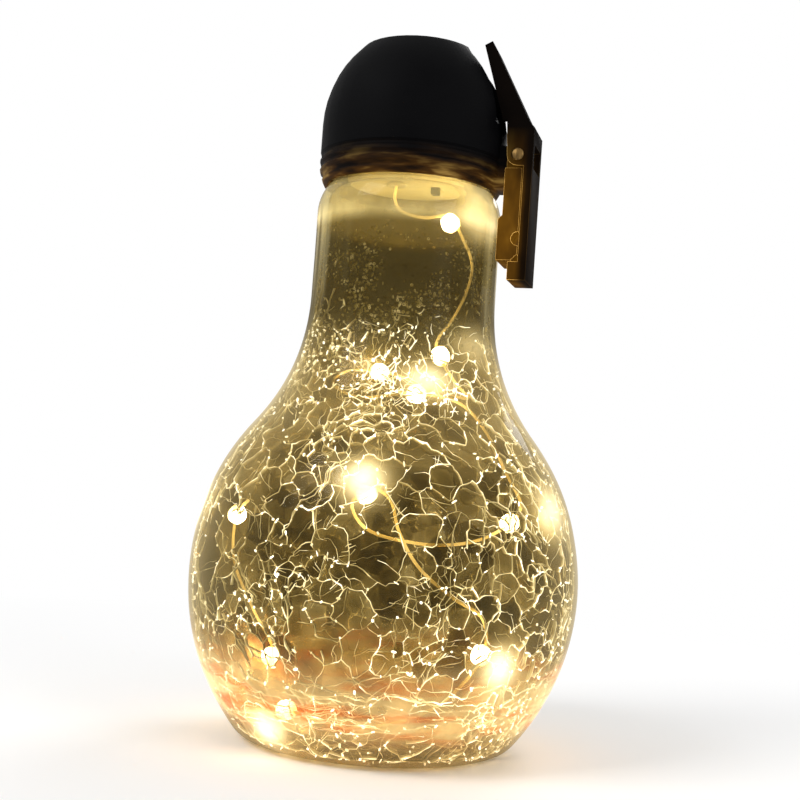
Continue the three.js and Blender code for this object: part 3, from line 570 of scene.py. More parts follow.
def addGlass():
    vertices, faces = turned(outerWall() + neckFinish() + innerWall(), bulb["segments"])
    lowest, highest = bulb["wobbleHeights"]
    shaped = []
    for v in vertices:
        v = Vector(v)
        if lowest < v.z < highest and v.xy.length > bulb["wobbleOutside"]:
            uneven = bulb["wobble"] * noise(v / bulb["wobbleSize"])
            v = v + Vector((v.x, v.y, 0)).normalized() * uneven
        shaped.append(v)
    ridge, ridgeFaces = threadRidge()
    faces += [tuple(i + len(shaped) for i in face) for face in ridgeFaces]
    shaped += [Vector(v) for v in ridge]
    piece = meshPiece("crackleGlassBulb", shaped, faces, newMaterial("crackle glass", crackleGlass))
    outer = 1 + (len(outerWall()) - 1) * bulb["segments"]  # the outer wall's pole and rings come first
    # painted light: each drop's halo, stored on the glass and weaker on the outer wall
    attribute(piece, "halo", [haloAt(v, 0, glare["outside"]) if i < outer else haloAt(v, wall["thickness"])
                              for i, v in enumerate(shaped)])
    recalculate(piece)
    settle(piece, "bulb", "crackle_glass", "glass_bulb")
    print("glass bulb made")


addGlass()

crackle = {  # sizes in mm
    "seed": 11, "tries": 40000, "cellSmall": 2.4, "cellLarge": 7.6, "cellUneven": (0.75, 1.1), "patch": 20,
    "patchMean": 0.45, "patchSwing": 1.1, "lowest": 4, "highest": 106, "widest": 46, "overlap": 1.2,
    "fineFrom": 78, "fineShare": 0.7, "wander": 1.1, "slowShare": 1.7, "slowBend": 0.16, "quickBend": 0.55,
    "step": 1.1, "depth": 1.0, "depthSway": 0.7, "depthSize": 6, "width": 0.175, "taper": (0.75, 0.7, 0.3),
    "thinnest": 0.3, "kept": (0.05, 1.3), "grain": 0.45, "dull": 0.08, "sheen": 0.5, "dashes": 0.3,
    "dashLight": 0.55, "dashWidth": 1.25, "glow": 0.42, "glowReach": 15, "sheet": 0.65,
    "sheetLight": (0.5, 0.3), "smooth": 60,
}
edgeCrack = {"missing": 0.4, "width": (0.5, 1.6), "light": (0.3, 1.4)}  # between two cells
crossCrack = {"share": 0.16, "lean": 0.8, "half": (0.4, 1.9), "back": (0.1, 1), "width": 0.6, "light": 0.9}
baseStreak = {"count": 70, "heights": (4, 19), "turn": (0.25, 1.1), "drift": 0.012, "width": (0.8, 1.5),
              "light": (0.5, 1.2)}
splitCrack = {"share": 0.9, "from": (0.2, 0.8), "reach": (0.4, 1), "width": 0.55, "light": (0.3, 0.9)}
longCrack = {"count": 240, "length": (9, 26), "width": (0.4, 1.0), "light": (0.5, 1.2)}
glintSpot = {"share": 0.6, "size": 0.34, "seed": 5, "glow": 0.3, "reach": 12, "light": (0.35, 1.0),
             "below": 3, "least": (0.3, 0.3, 0.3), "most": (2.2, 1.1, 0.8)}
cellGlass = {"depth": 1.5, "uneven": (-0.25, 0.35), "rimDepth": 1.2, "middle": 40, "reach": 20, "dark": 0.7,
             "darkPower": 1.15, "paleEnds": 0.16, "rimLift": (0.15, 0.4), "palest": 0.88, "cuts": 2,
             "halo": 1.3}


def crackSeeds(chance):
    seeds, grid = [], {}
    total, room = wallRows[-1][0], crackle["cellLarge"] * crackle["cellUneven"][1]
    for _ in range(crackle["tries"]):
        along = chance.uniform(crackle["lowest"], total)
        row = onWall(0, along)
        if row[3] > crackle["highest"] or chance.random() > row[2] / crackle["widest"]:
            continue
        turn = chance.uniform(-pi, pi)
        place = wallPoint(turn, along, 0)
        mix = crackle["patchMean"] + crackle["patchSwing"] * noise(place / crackle["patch"])
        mix = min(1, max(0, mix))
        space = crackle["cellSmall"] + (crackle["cellLarge"] - crackle["cellSmall"]) * mix
        space *= crackle["fineShare"] if row[3] > crackle["fineFrom"] else 1
        space *= chance.uniform(*crackle["cellUneven"])
        key = [floor(c / room) for c in place]
        near = [other for i in (-1, 0, 1) for j in (-1, 0, 1) for k in (-1, 0, 1)
                for other in grid.get((key[0] + i, key[1] + j, key[2] + k), ())]
        if all((place - other).length > space for other in near):
            seeds.append((turn, row[1]))
            grid.setdefault(tuple(key), []).append(place)
    return seeds


def crackCells(seeds):
    spread = list(seeds)
    for shift in (-2 * pi, 2 * pi):
        spread += [(turn + shift, m) for turn, m in seeds if abs(turn + shift) < pi + crackle["overlap"]]
    made = geometry.delaunay_2d_cdt([Vector(p) for p in spread], [], [], 0, 1e-6)
    points, triangles = made[0], made[2]
    source = [min(group) if group else -1 for group in made[3]]
    middles, edgeTriangles, around = [], {}, {}
    for t, triangle in enumerate(triangles):
        middles.append(sum((points[v] for v in triangle), Vector((0, 0))) / 3)
        for a, b in zip(triangle, triangle[1:] + triangle[:1]):
            edgeTriangles.setdefault((min(a, b), max(a, b)), []).append(t)
            around.setdefault(a, []).append(t)
    edges = []
    for pair in edgeTriangles.values():
        if len(pair) == 2:
            middle = (middles[pair[0]] + middles[pair[1]]) / 2
            if -pi <= middle.x < pi:
                edges.append(pair)
    cells = []
    for v, group in around.items():
        if 0 <= source[v] < len(seeds):
            centre = points[v]
            ordered = sorted(set(group), key=lambda t: atan2(*(middles[t] - centre).yx))
            cells.append((centre, ordered))
    return middles, edges, cells


def wander(flat):
    row = onWall(1, flat.y)
    place = wallPoint(flat.x, row[0], 0)
    slow, quick, share = crackle["slowBend"], crackle["quickBend"], crackle["slowShare"]
    bend = [crackle["wander"] * (share * noise(p * slow) + noise(p * quick))
            for p in (place, place + Vector((31, 17, 5)))]
    return flat.x + bend[0] / max(4, row[2]), row[0] + bend[1], place


def litCrack(add, place):  # inside of a crack: painted reflections of the lights, given off as emission, from dull gold to white
    glint = add("Attribute", attribute_name="glint").outputs["Fac"]
    colour = add("ValToRGB", {"Fac": glint}, [
        (0.0, "#6d6038"), (0.3, "#c9bb8c"), (0.6, "#f3ecd4"), (0.9, "#ffffff")])
    power = add("MapRange", {"Value": glint, "To Min": 0.1, "To Max": 3.2})
    grain = add("TexNoise", {"Vector": place, "Detail": 2.0}, size=1.1)
    rough = add("MapRange", {"Value": grain, "To Min": 0.08, "To Max": 0.4})
    return add("BsdfPrincipled", {
        "Base Color": colour, "Roughness": rough, "Emission Color": colour, "Emission Strength": power})


def glassCell(add, _):  # the glass between cracks: dark amber middle, paler towards the cracks, partly painted shade and partly painted light, with a painted glow
    shade = add("Attribute", attribute_name="shade").outputs["Fac"]
    tint = add("ValToRGB", {"Fac": shade}, [
        (0.0, "#4e4630"), (0.3, "#867b5a"), (0.65, "#cbc3a8"), (1.0, "#ffffff")])
    haze = add("ValToRGB", {"Fac": shade}, [(0.0, 0.005), (0.4, 0.02), (0.7, 0.07), (0.9, 0.06), (1.0, 0.0)])
    # painted light: the drops' halos and a faint glow given off by every cell
    glow = add("Attribute", attribute_name="halo").outputs["Fac"]
    lit = add("MULTIPLY_ADD", {0: glow, 1: 0.5, 2: haze})
    opacity = add("Clamp", {"Value": lit, "Min": 0.0, "Max": 0.95})
    power = add("MULTIPLY_ADD", {0: glow, 1: 1.8, 2: 0.15})
    colour = add("ValToRGB", {"Fac": glow}, [(0.0, "#f0dea2"), (0.4, "#ffecb6"), (1.0, "#fff8e0")])
    shader = add("BsdfPrincipled", {
        "Base Color": linear("#b8a466"), "Roughness": 0.12, "IOR": 1.5, "Emission Color": colour,
        "Emission Strength": power})
    clear = add("BsdfTransparent", {"Color": tint})
    return add("MixShader", {0: opacity, 1: clear, 2: shader})


def crackTree(material):
    group, add, source = nodeTree("cracks along lines", Sides="Int")
    lines = add("MeshToCurve", {"Mesh": source["Geometry"]})
    width = add("InputNamedAttribute", {"Name": "width"}, data_type="FLOAT").outputs["Attribute"]
    section = add("CurvePrimitiveCircle", {"Resolution": source["Sides"], "Radius": 1.0})
    cracks = add("CurveToMesh", {
        "Curve": lines, "Profile Curve": section, "Scale": width, "Fill Caps": True})
    closeTree(add, cracks, material)
    return group


def glintTree(material):
    group, add, source = nodeTree("glints at crossings", Size="Float", Seed="Int")
    points = add("MeshToPoints", {"Mesh": source["Geometry"], "Radius": 0.1 * mm})
    flake = add("MeshIcoSphere", {"Radius": source["Size"], "Subdivisions": 1})
    turn, stretch = (
        add("RandomValue", {0: low, 1: high, "Seed": source["Seed"]}, data_type="FLOAT_VECTOR")
        for low, high in (((0, 0, 0), (6.28, 6.28, 6.28)), (glintSpot["least"], glintSpot["most"])))
    spread = add("InstanceOnPoints", {
        "Points": points, "Instance": flake, "Rotation": turn, "Scale": stretch})
    closeTree(add, spread, material)
    return group


def crackLines(chance, seeds, middles, edges, cells):
    main, fine = ({"points": [], "inner": [], "joins": [], "width": [], "glint": []} for _ in range(2))
    few, most = crackle["kept"]
    mean, swing, grit = crackle["taper"]

    def addCrack(into, start, end, thick, bright):
        first = wander(start)[2]
        rows = onWall(1, start.y), onWall(1, end.y)
        reach = hypot(rows[1][0] - rows[0][0], (end.x - start.x) * (rows[0][2] + rows[1][2]) / 2)
        if first.z > bulb["crackleTop"] + bulb["strays"] or chance.random() > few + most * crackFade(first):
            return
        count = max(2, round(reach / crackle["step"]))
        begin = len(into["points"])
        for i in range(count + 1):
            turn, along, place = wander(start.lerp(end, i / count))
            sway = crackle["depthSway"] * noise(place / crackle["depthSize"])
            point = wallPoint(turn, along, crackle["depth"] + sway)
            # painted highlight: the glint brightness along each crack, with painted bright dashes
            grain = 0.5 + 0.5 * noise(point * crackle["grain"])
            taper = max(crackle["thinnest"], mean + swing * noise(point * grit + Vector((9, 1, 4))))
            dash = crackle["dashLight"] if chance.random() < crackle["dashes"] else 0.0
            into["points"].append(point)
            into["inner"].append(wallPoint(turn, along, crackle["depth"] + crackle["sheet"]))
            wide = crackle["width"] / 2 * thick * taper * (crackle["dashWidth"] if dash else 1)
            into["width"].append(wide * mm)
            light = bright * (crackle["dull"] + crackle["sheen"] * grain ** 1.5 + dash * grain)
            # painted light: cracks brighter near the drops
            light += crackle["glow"] * glowAt(point, crackle["glowReach"]) * bright
            into["glint"].append(min(1.0, light))
            if i:
                into["joins"].append((begin + i - 1, begin + i))

    for a, b in edges:
        bright = chance.uniform(*edgeCrack["light"])
        if bright < edgeCrack["missing"]:  # some cells run together
            continue
        addCrack(main, middles[a], middles[b], chance.uniform(*edgeCrack["width"]), bright)
        if chance.random() < crossCrack["share"]:  # short cross cracks beside a long one
            run = middles[b] - middles[a]
            across = Vector((-run.y, run.x)).normalized()
            radius = onWall(1, middles[a].y)[2]
            ticks = max(2, round(run.length * radius))
            for k in range(ticks):
                base = middles[a] + run * (k + chance.uniform(0.0, 1.0)) / ticks
                lean = Matrix.Rotation(chance.uniform(-crossCrack["lean"], crossCrack["lean"]), 2)
                half = lean @ across * chance.uniform(*crossCrack["half"]) / max(6, radius)
                back = half * chance.uniform(*crossCrack["back"])
                addCrack(fine, base - back, base + half, crossCrack["width"], bright * crossCrack["light"])
    for _ in range(baseStreak["count"]):  # long streaks round the base, where the glass was pressed flat
        along = onWall(3, chance.uniform(*baseStreak["heights"]))[1]
        turn = chance.uniform(-pi, pi)
        drift = baseStreak["drift"]
        tail = Vector((turn + chance.uniform(*baseStreak["turn"]), along + chance.uniform(-drift, drift)))
        addCrack(fine, Vector((turn, along)), tail, chance.uniform(*baseStreak["width"]),
                 chance.uniform(*baseStreak["light"]))
    for centre, ordered in cells:
        sides = len(ordered)
        for _ in range(2):
            if sides > 4 and chance.random() < splitCrack["share"] and -pi <= centre.x < pi:
                k = chance.randrange(sides)
                a, b = (middles[ordered[n % sides]].lerp(middles[ordered[(n + 1) % sides]],
                                                         chance.uniform(*splitCrack["from"]))
                        for n in (k, k + sides // 2))
                tail = a.lerp(b, chance.uniform(*splitCrack["reach"]))
                addCrack(fine, a, tail, splitCrack["width"], chance.uniform(*splitCrack["light"]))
    for _ in range(longCrack["count"]):  # long cracks that run on across several cells
        start = Vector(chance.choice(seeds))
        lean = chance.uniform(-pi, pi)
        long = chance.uniform(*longCrack["length"]) / max(8, onWall(1, start.y)[2])
        tail = start + Vector((cos(lean), sin(lean))) * long
        addCrack(main, start, tail, chance.uniform(*longCrack["width"]), chance.uniform(*longCrack["light"]))
    return main, fine


def addCells(chance, middles, cells):
    corners, faces, shades = [], [], []
    for centre, ordered in cells:
        turn, along, place = wander(centre)
        if not -pi <= centre.x < pi or len(ordered) < 3 or place.z > bulb["crackleTop"] + bulb["strays"]:
            continue
        clear = 1 - crackFade(place)
        # painted shade: cells darker round the middle of the belly, paler towards the base and the shoulder
        middle = exp(-((place.z - cellGlass["middle"]) / cellGlass["reach"]) ** 2)
        dark = cellGlass["dark"] * chance.random() ** cellGlass["darkPower"]
        dark += cellGlass["paleEnds"] * (1 - middle)
        begin = len(corners)
        corners.append(wallPoint(turn, along, cellGlass["depth"] + chance.uniform(*cellGlass["uneven"])))
        shades.append(dark + (1 - dark) * clear)
        for t in ordered:
            turn, along, place = wander(middles[t])
            corners.append(wallPoint(turn, along, cellGlass["rimDepth"]))
            # rims paler than the middle, partly painted light
            rim = min(cellGlass["palest"], dark + chance.uniform(*cellGlass["rimLift"]))
            shades.append(rim + (1 - rim) * clear)
        count = len(ordered)
        faces += [(begin, begin + 1 + i, begin + 1 + (i + 1) % count) for i in range(count)]
    glass = newMaterial("crackle glass cell", glassCell)
    piece = meshPiece("crackleCells", corners, faces, glass, smooth=False)
    attribute(piece, "shade", shades)
    work = bmesh.new()
    work.from_mesh(piece.data)
    # fine enough to carry the halos
    bmesh.ops.subdivide_edges(work, edges=work.edges, cuts=cellGlass["cuts"], use_grid_fill=True)
    bmesh.ops.triangulate(work, faces=work.faces)
    work.to_mesh(piece.data)
    work.free()
    # painted light: the drops' halos on the cells
    attribute(piece, "halo", [haloAt(v.co / mm, cellGlass["halo"]) for v in piece.data.vertices])
    settle(piece, "bulb", "crackle_glass")


def addCracks():
    chance = random.Random(crackle["seed"])
    seeds = crackSeeds(chance)
    middles, edges, cells = crackCells(seeds)
    main, fine = crackLines(chance, seeds, middles, edges, cells)
    lit = newMaterial("lit crack in glass", litCrack)
    group = crackTree(lit)
    for name, lines, sides in (("crackLines", main, 5), ("fineCracks", fine, 4)):
        piece = grown(name, group, {"Sides": sides}, lines["points"], lines["joins"], width=lines["width"],
                      glint=lines["glint"])
        smoothed(piece, crackle["smooth"])
        settle(piece, "bulb", "crackle_glass")
    count = len(main["points"])
    sheets = [(a, b, b + count, a + count) for a, b in main["joins"]]
    piece = meshPiece("crackSheets", main["points"] + main["inner"], sheets, lit)
    # the sheets carry a share of the painted glints
    attribute(piece, "glint", [share * g for share in crackle["sheetLight"] for g in main["glint"]])
    settle(piece, "bulb", "crackle_glass")
    # painted glints: flakes along the cracks, brighter near the drops
    sparks, bright = [], []
    for a, b in edges:
        if chance.random() < glintSpot["share"]:
            turn, along, place = wander(middles[a].lerp(middles[b], chance.random()))
            if place.z < bulb["crackleTop"] - glintSpot["below"]:
                point = wallPoint(turn, along, crackle["depth"])
                sparks.append(point)
                near = glintSpot["glow"] * glowAt(point, glintSpot["reach"])
                bright.append(min(1, chance.uniform(*glintSpot["light"]) + near))
    sizes = {"Size": glintSpot["size"] * mm, "Seed": glintSpot["seed"]}
    settle(grown("crackGlints", glintTree(lit), sizes, sparks, glint=bright), "bulb", "crackle_glass")
    addCells(chance, middles, cells)
    print("cracks made:", len(seeds), "cells")


addCracks()

bubbles = {"low": 86, "high": 119, "depth": 1.2, "perSquareMm": 2.6, "ring": 0.2, "thick": 0.06, "seed": 3,
           "sides": 72, "clump": 7, "clumpMean": 0.35, "clumpSwing": 1.5, "fadeLow": 8, "fadeHigh": 10,
           "least": (0.45, 0.45, 0.6), "most": (1.5, 1.5, 1.2)}


def trappedBubble(add, place):  # seeds of air in the glass: tiny pale rings whose glints are painted light given off as emission
    spot = add("TexNoise", {"Vector": place, "Detail": 1.0}, size=1.6)
    colour = add("ValToRGB", {"Fac": spot}, [(0.35, "#6f6239"), (0.55, "#b0a066"), (0.72, "#efe3b8")])
    power = add("MapRange", {
        "Value": spot, "From Min": 0.35, "From Max": 0.75, "To Min": 0.03, "To Max": 0.6})
    return add("BsdfPrincipled", {
        "Base Color": colour, "Roughness": 0.15, "Emission Color": colour, "Emission Strength": power})


def bubbleTree(material):
    group, add, source = nodeTree("bubbles in the neck", Amount="Float", Ring="Float", Thick="Float",
                                  Seed="Int")
    share = add("InputNamedAttribute", {"Name": "share"}, data_type="FLOAT").outputs["Attribute"]
    amount = add("MULTIPLY", {0: share, 1: source["Amount"]})
    spots = add("DistributePointsOnFaces", {
        "Mesh": source["Geometry"], "Density": amount, "Seed": source["Seed"]})
    circle, section = (add("CurvePrimitiveCircle", {"Resolution": sides, "Radius": source[radius]})
                       for sides, radius in ((8, "Ring"), (4, "Thick")))
    ring = add("CurveToMesh", {"Curve": circle, "Profile Curve": section})
    size = add("RandomValue", {0: bubbles["least"], 1: bubbles["most"], "Seed": source["Seed"]},
               data_type="FLOAT_VECTOR")
    spread = add("InstanceOnPoints", {
        "Points": spots, "Instance": ring, "Rotation": spots.outputs["Rotation"], "Scale": size})
    closeTree(add, spread, material)
    return group


def addBubbles():
    rows = [row for row in wallRows if bubbles["low"] <= row[3] <= bubbles["high"]]
    band = [(row[2] - row[4] * bubbles["depth"], row[3] - row[5] * bubbles["depth"]) for row in rows]
    vertices, faces = turned(band, bubbles["sides"])
    share = []
    for v in vertices:
        v = Vector(v)
        clump = bubbles["clumpMean"] + bubbles["clumpSwing"] * noise(v / bubbles["clump"])
        above, below = v.z - bubbles["low"], bubbles["high"] - v.z
        fade = min(1, above / bubbles["fadeLow"], max(0, below / bubbles["fadeHigh"]))
        share.append(min(1, max(0, clump)) * fade)
    group = bubbleTree(newMaterial("trapped air bubble", trappedBubble))
    sizes = {"Amount": bubbles["perSquareMm"] / mm ** 2, "Ring": bubbles["ring"] * mm,
             "Thick": bubbles["thick"] * mm, "Seed": bubbles["seed"]}
    piece = grown("neckBubbles", group, sizes, vertices, faces=faces, share=share)
    settle(piece, "bulb", "crackle_glass")
    print("bubbles made:", len(piece.data.polygons), "faces")


addBubbles()


def lightOnPlastic(add, place, falls, colours, strength, grain, stretch):  # painted light of the string: emission on the plastic that fades away from the lights
    long = add("Mapping", {"Vector": place, "Scale": stretch})
    patch = add("TexNoise", {"Vector": long, "Detail": 3.0}, size=grain)
    colour = add("ValToRGB", {"Fac": patch}, colours)
    power = add("MapRange", {"Value": patch, "From Min": 0.3, "From Max": 0.7, "To Min": 0.5 * strength,
                             "To Max": 1.4 * strength})
    split = add("SeparateXYZ", {"Vector": place})
    for axis, near, far, stops in falls:
        reach = add("MapRange", {"Value": split.outputs[axis], "From Min": near * mm, "From Max": far * mm})
        fall = add("ValToRGB", {"Fac": reach}, stops)
        power = add("MULTIPLY", {0: power, 1: fall})
    return {"Emission Color": colour, "Emission Strength": power}


def mouldedPlastic(add, place, low, high, grit, rough, specular, light=None):  # even colour, fine grain
    patch = add("TexNoise", {"Vector": place, "Detail": 3.0}, size=6)
    colour = add("ValToRGB", {"Fac": patch}, [(0.3, low), (0.7, high)])
    grain = add("TexNoise", {"Vector": place, "Detail": 2.0}, size=grit)
    worn = add("MapRange", {"Value": patch, "To Min": rough - 0.08, "To Max": rough + 0.1})
    bump = add("Bump", {"Strength": 0.18, "Distance": 0.08 * mm, "Height": grain})
    # painted light of the string, where it is given
    glow = lightOnPlastic(add, place, **light) if light else {}
    return add("BsdfPrincipled", {
        "Base Color": colour, "Roughness": worn, "Specular IOR Level": specular, "Normal": bump, **glow})


def platedSteel(add, place, low, high, streak, rough):  # plated or drawn: cool metal, faint drawing lines
    long = add("Mapping", {"Vector": place, "Scale": (1, 1, 0.12)})
    lines = add("TexNoise", {"Vector": long, "Detail": 3.0}, size=streak)
    colour = add("ValToRGB", {"Fac": lines}, [(0.3, low), (0.7, high)])
    worn = add("MapRange", {"Value": lines, "To Min": rough - 0.07, "To Max": rough + 0.12})
    return add("BsdfPrincipled", {"Base Color": colour, "Metallic": 1.0, "Roughness": worn})


cap = {
    "edge": 0.3, "look": ("#030304", "#060607", 0.35, 0.6, 0.03), "sealEdge": 0.15,
    # painted light of the string on the skirt, brightest at its lower edge
    "light": {"falls": [("Z", 128.5, 137.5, [(0.0, 1.0), (0.25, 0.6), (0.55, 0.12), (0.85, 0.0)])],
              "colours": [(0.35, "#2c1a06"), (0.55, "#7a4f18"), (0.7, "#e0b05a")],
              "strength": 0.36, "grain": 11, "stretch": (1, 1, 6)},
}


def addCap():
    black = newMaterial("black ABS cap", mouldedPlastic, *cap["look"], cap["light"])
    refined("cap_shell", "black_abs", black, cap["edge"])
    rubber = newMaterial("silicone rubber", mouldedPlastic, "#c9c2ae", "#d8d2c0", 0.5, 0.6, 0.4)
    refined("rim_seal", "silicone", rubber, cap["sealEdge"], "seal")
    refined("wire_grommet", "silicone", rubber, cap["sealEdge"])
    print("cap made")


addCap()

plug = {
    "edge": 0.35, "look": ("#e0d6b4", "#e8dfc2", 0.4, 0.45, 0.4), "knobEdge": 0.15,
    # painted light of the string on the plug, brightest at its underside
    "light": {"falls": [("Z", 129.5, 141, [(0.0, 1.0), (0.35, 0.6), (1.0, 0.0)])],
              "colours": [(0.35, "#ac943c"), (0.55, "#d8bd58"), (0.7, "#f4e298")],
              "strength": 0.3, "grain": 14, "stretch": (1, 4, 1)},
    "metal": {"cap_screw_1": 0.08, "cap_screw_2": 0.08, "cap_screw_3": 0.08, "plus_contact": 0.06,
              "minus_spring": 0.06, "switch_body": 0.06},  # each with its edge
}


def addPlug():
    white = newMaterial("white ABS plug", mouldedPlastic, *plug["look"], plug["light"])
    refined("plug_housing", "white_abs", white, plug["edge"])
    steel = newMaterial("nickel-plated steel", platedSteel, "#b9bcc0", "#e2e4e6", 0.3, 0.28)
    for node, edge in plug["metal"].items():
        refined(node, "plated_steel", steel, edge)
    acetal = newMaterial("black acetal knob", mouldedPlastic, "#101012", "#18181b", 0.3, 0.4, 0.4)
    refined("switch_knob", "knob_plastic", acetal, plug["knobEdge"], "knob")
    print("plug housing made")


addPlug()

panel = {"fingerGap": 1.25, "finger": 0.1, "bus": 0.35, "rise": 0.03, "busInset": 0.6, "fingerInset": 0.4,
         "boardEdge": 0.1, "coverEdge": 0.12}


def siliconCell(add, place):  # polycrystalline silicon: blue-black flakes with a slight sheen
    flake = add("TexVoronoi", {"Vector": place}, size=2.2).outputs["Color"]
    pick = add("SeparateXYZ", {"Vector": flake})
    colour = add("ValToRGB", {"Fac": pick}, [(0.0, "#0b1020"), (0.5, "#131b34"), (1.0, "#1d294c")])
    rough = add("MapRange", {"Value": pick, "To Min": 0.22, "To Max": 0.42})
    return add("BsdfPrincipled", {"Base Color": colour, "Roughness": rough, "Metallic": 0.2})


def panelResin(add, place):  # clear epoxy poured over the cells: smooth, glossy, hardly tinted
    swell = add("TexNoise", {"Vector": place, "Detail": 1.0}, size=8)
    bump = add("Bump", {"Strength": 0.1, "Distance": 0.2 * mm, "Height": swell})
    rough = add("MapRange", {"Value": swell, "To Min": 0.03, "To Max": 0.12})
    shader = add("BsdfPrincipled", {
        "Base Color": linear("#1a2036"), "Roughness": rough, "IOR": 1.5, "Normal": bump})
    clear = add("BsdfTransparent", {"Color": linear("#e6e9f2")})
    gloss = add("Fresnel", {"IOR": 1.5, "Normal": bump})
    share = add("MULTIPLY_ADD", {0: gloss, 1: 0.9, 2: 0.1})
    return add("MixShader", {0: share, 1: clear, 2: shader})


def circuitLaminate(add, place):  # glass-epoxy board: green lacquer with paler lines of track under it
    track = add("TexBrick", {
        "Vector": place, "Color1": linear("#1d5a34"), "Color2": linear("#226a3d"),
        "Mortar": linear("#3a8a52"), "Mortar Size": 0.05}, size=4)
    grain = add("TexNoise", {"Vector": place, "Detail": 2.0}, size=0.8)
    rough = add("MapRange", {"Value": grain, "To Min": 0.25, "To Max": 0.45})
    return add("BsdfPrincipled", {"Base Color": track, "Roughness": rough})


def barTree(material):
    group, add, source = nodeTree("printed bars", Size="Vector")
    points = add("MeshToPoints", {"Mesh": source["Geometry"], "Radius": 0.1 * mm})
    bar = add("MeshCube", {"Size": source["Size"]})
    closeTree(add, add("InstanceOnPoints", {"Points": points, "Instance": bar}), material)
    return group


def addPanel():
    laminate = newMaterial("green circuit laminate", circuitLaminate)
    silicon = newMaterial("polycrystalline silicon", siliconCell)
    refined("panel_board", "circuit_laminate", laminate, panel["boardEdge"])
    fingers, buses = [], []
    for i in range(1, 5):
        refined(f"solar_cell_{i}", "silicon_cell", silicon)
        low, high = (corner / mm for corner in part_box(f"solar_cell_{i}"))
        wide, middle = high.x - low.x, (low.y + high.y) / 2
        count = round(wide / panel["fingerGap"])
        top = high.z + panel["rise"] / 2
        fingers += [(low.x + wide * (k + 0.5) / count, middle, top) for k in range(count)]
        buses.append((wide - panel["busInset"], (low.x + high.x) / 2, middle, top + panel["rise"]))
    group = barTree(newMaterial("printed silver", platedSteel, "#a9adb3", "#cfd3d8", 0.2, 0.4))
    low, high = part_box("solar_cell_2")
    depth = (high.y - low.y) / mm - panel["fingerInset"]
    bars = [("cellFingers", fingers, (panel["finger"], depth))]
    bars += [(f"cellBus{i + 1}", [place], (long, panel["bus"])) for i, (long, *place) in enumerate(buses)]
    for name, places, (wide, deep) in bars:
        size = (wide * mm, deep * mm, panel["rise"] * mm)
        settle(grown(name, group, {"Size": size}, places), "cap", "plated_steel")
    refined("panel_cover", "panel_resin", newMaterial("clear epoxy", panelResin), panel["coverEdge"])
    refined("circuit_board", "circuit_laminate", laminate, panel["boardEdge"])
    print("solar panel made")


addPanel()

circuit = {
    "looks": {  # each slot's material
        "battery_sleeve": ("green shrink sleeve", "#1f7a46", "#27925a", 0.8, 0.3, 0.5),
        "chip_epoxy": ("moulded epoxy chip", "#121214", "#1a1a1d", 0.2, 0.6, 0.3),
        "red_pvc": ("red PVC sleeve", "#a01616", "#bb2420", 0.5, 0.4, 0.4),
        "black_pvc": ("black PVC sleeve", "#101010", "#1b1b1b", 0.5, 0.4, 0.4),
    },
    "pieces": {  # each with its slot and edge
        "battery": ("battery_sleeve", 0.4), "driver_chip": ("chip_epoxy", 0.12),
        "panel_lead_plus": ("red_pvc", 0), "panel_lead_minus": ("black_pvc", 0),
        "battery_lead_plus": ("red_pvc", 0), "battery_lead_minus": ("black_pvc", 0),
    },
    "coilEdge": 0.1,
}


def coilLacquer(add, place):  # wound copper wire under brown lacquer: fine ridges across the coil
    turns = add("TexWave", {"Vector": place}, size=0.5 * 6.28, bands_direction="X").outputs["Fac"]
    colour = add("ValToRGB", {"Fac": turns}, [(0.0, "#4a2410"), (0.6, "#8a4c22"), (1.0, "#b06a34")])
    bump = add("Bump", {"Strength": 0.5, "Distance": 0.2 * mm, "Height": turns})
    return add("BsdfPrincipled", {"Base Color": colour, "Roughness": 0.35, "Normal": bump})


def addCircuit():
    plastics = {slot: newMaterial(name, mouldedPlastic, *look)
                for slot, (name, *look) in circuit["looks"].items()}
    for node, (slot, edge) in circuit["pieces"].items():
        refined(node, slot, plastics[slot], edge)
    winding = newMaterial("lacquered copper winding", coilLacquer)
    refined("choke_coil", "coil_lacquer", winding, circuit["coilEdge"])
    print("circuit made")


addCircuit()

clip = {
    "edge": 0.45, "look": ("#070504", "#0c0806", 0.3, 0.8, 0.01), "pinEdge": 0.2,
    # painted light of the string on the clip, brightest on the face towards the glass, fading towards the top
    "light": {"falls": [("X", 22, 30.5, [(0.0, 1.0), (0.6, 0.8), (0.78, 0.1), (1.0, 0.0)]),
                        ("Z", 107, 143, [(0.0, 0.75), (0.25, 1.0), (0.62, 0.75), (0.78, 0.25), (1.0, 0.0)])],
              "colours": [(0.3, "#5c3a0a"), (0.55, "#764e10"), (0.75, "#94702a")],
              "strength": 0.9, "grain": 7, "stretch": (1, 1, 0.5)},
    # rimLight: painted highlight on the rounded edges
    "rimLight": {"colours": [(0.3, "#b0813e"), (0.55, "#d3a250"), (0.75, "#efc87c")], "strength": 4.6},
}


def addClip():
    dark = newMaterial("dark ABS clip", mouldedPlastic, *clip["look"], clip["light"])
    # the rounded edges take the same plastic with a painted highlight
    rim = newMaterial("lit edge of the ABS clip", mouldedPlastic, *clip["look"],
                      clip["light"] | clip["rimLight"])
    for node, body in (("clip_jaw", "cap"), ("clip_arm", "arm")):
        refined(node, "clip_abs", dark, clip["edge"], body, rim)
    spring = newMaterial("drawn spring steel", platedSteel, "#8d9196", "#c6cacd", 0.25, 0.3)
    refined("clip_spring", "spring_steel", spring, body="arm")
    # painted reflection: the amber of the string's light on the rivet
    rivet = newMaterial("steel rivet with painted amber reflection", platedSteel, "#4a3a22", "#7a6038", 0.3, 0.35)
    refined("clip_pin", "plated_steel", rivet, clip["pinEdge"])
    print("clip made")


addClip()

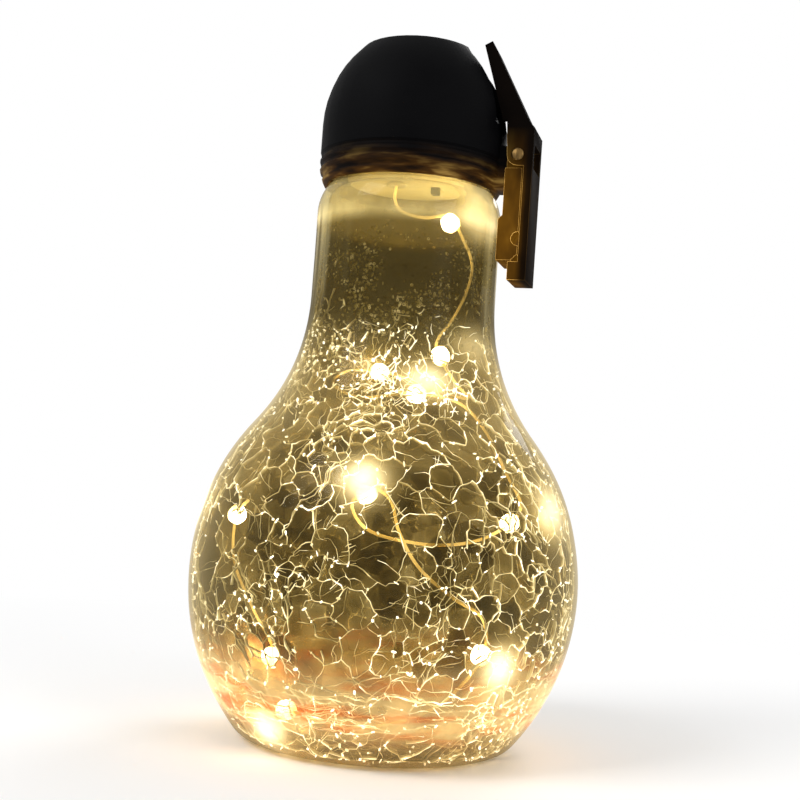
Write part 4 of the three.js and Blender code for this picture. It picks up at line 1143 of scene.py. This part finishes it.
stage = {
    "floor": "#ffffff", "floorTop": -0.4, "rings": (0, 120, 260, 420, 700, 1500), "sides": 64, "grey": 0.93,
    "litWithin": 90, "whiteFrom": 300, "world": 0.55, "aim": (0, 0, 0.08),
    "lamps": (("key", (-0.36, -0.42, 0.5), 0.32, 2.6), ("fill", (0.5, -0.3, 0.3), 0.3, 1.0),
              ("rim", (0.15, 0.5, 0.45), 0.3, 1.4)),  # name, place, size and watts
}


def paleFloor(add, place):  # painted board: lit near the object, plain white further out
    away = add("VectorMath", {0: place}, operation="LENGTH").outputs["Value"]
    near, white = (stage[key] * mm for key in ("litWithin", "whiteFrom"))
    far = add("MapRange", {"Value": away, "From Min": near, "From Max": white})
    plain = add("Emission", {"Color": linear(stage["floor"]), "Strength": 1.0})
    lit = add("BsdfDiffuse", {"Color": (stage["grey"],) * 3 + (1,)})
    return add("MixShader", {0: far, 1: lit, 2: plain})


def addStage():
    vertices, faces = turned([(ring, stage["floorTop"]) for ring in stage["rings"]], stage["sides"])
    ground = meshPiece("paleFloor", vertices, faces, newMaterial("plain pale floor", paleFloor), smooth=False)
    recalculate(ground)
    world = bpy.data.worlds.new("studio")
    world.use_nodes = True
    world.node_tree.nodes.clear()
    add = partial(addNode, world.node_tree)
    path = add("LightPath").outputs
    seen = add("MAXIMUM", {0: path["Is Camera Ray"], 1: path["Is Transmission Ray"]})
    mirrored = add("MAXIMUM", {0: seen, 1: path["Is Glossy Ray"]})
    soft, bright = (add("Background", {"Color": (1, 1, 1, 1), "Strength": strength})
                    for strength in (stage["world"], 1.0))
    add("OutputWorld", {"Surface": add("MixShader", {0: mirrored, 1: soft, 2: bright})})
    scene.world = world
    for name, place, size, watts in stage["lamps"]:
        data = bpy.data.lights.new(name, "AREA")
        data.size = size
        data.energy = watts
        lamp = bpy.data.objects.new(name, data)
        lamp.location = place
        lamp.rotation_euler = (Vector(stage["aim"]) - Vector(place)).to_track_quat("-Z", "Y").to_euler()
        scene.collection.objects.link(lamp)
    scene.view_settings.view_transform = "Standard"


addStage()
print("stage set")
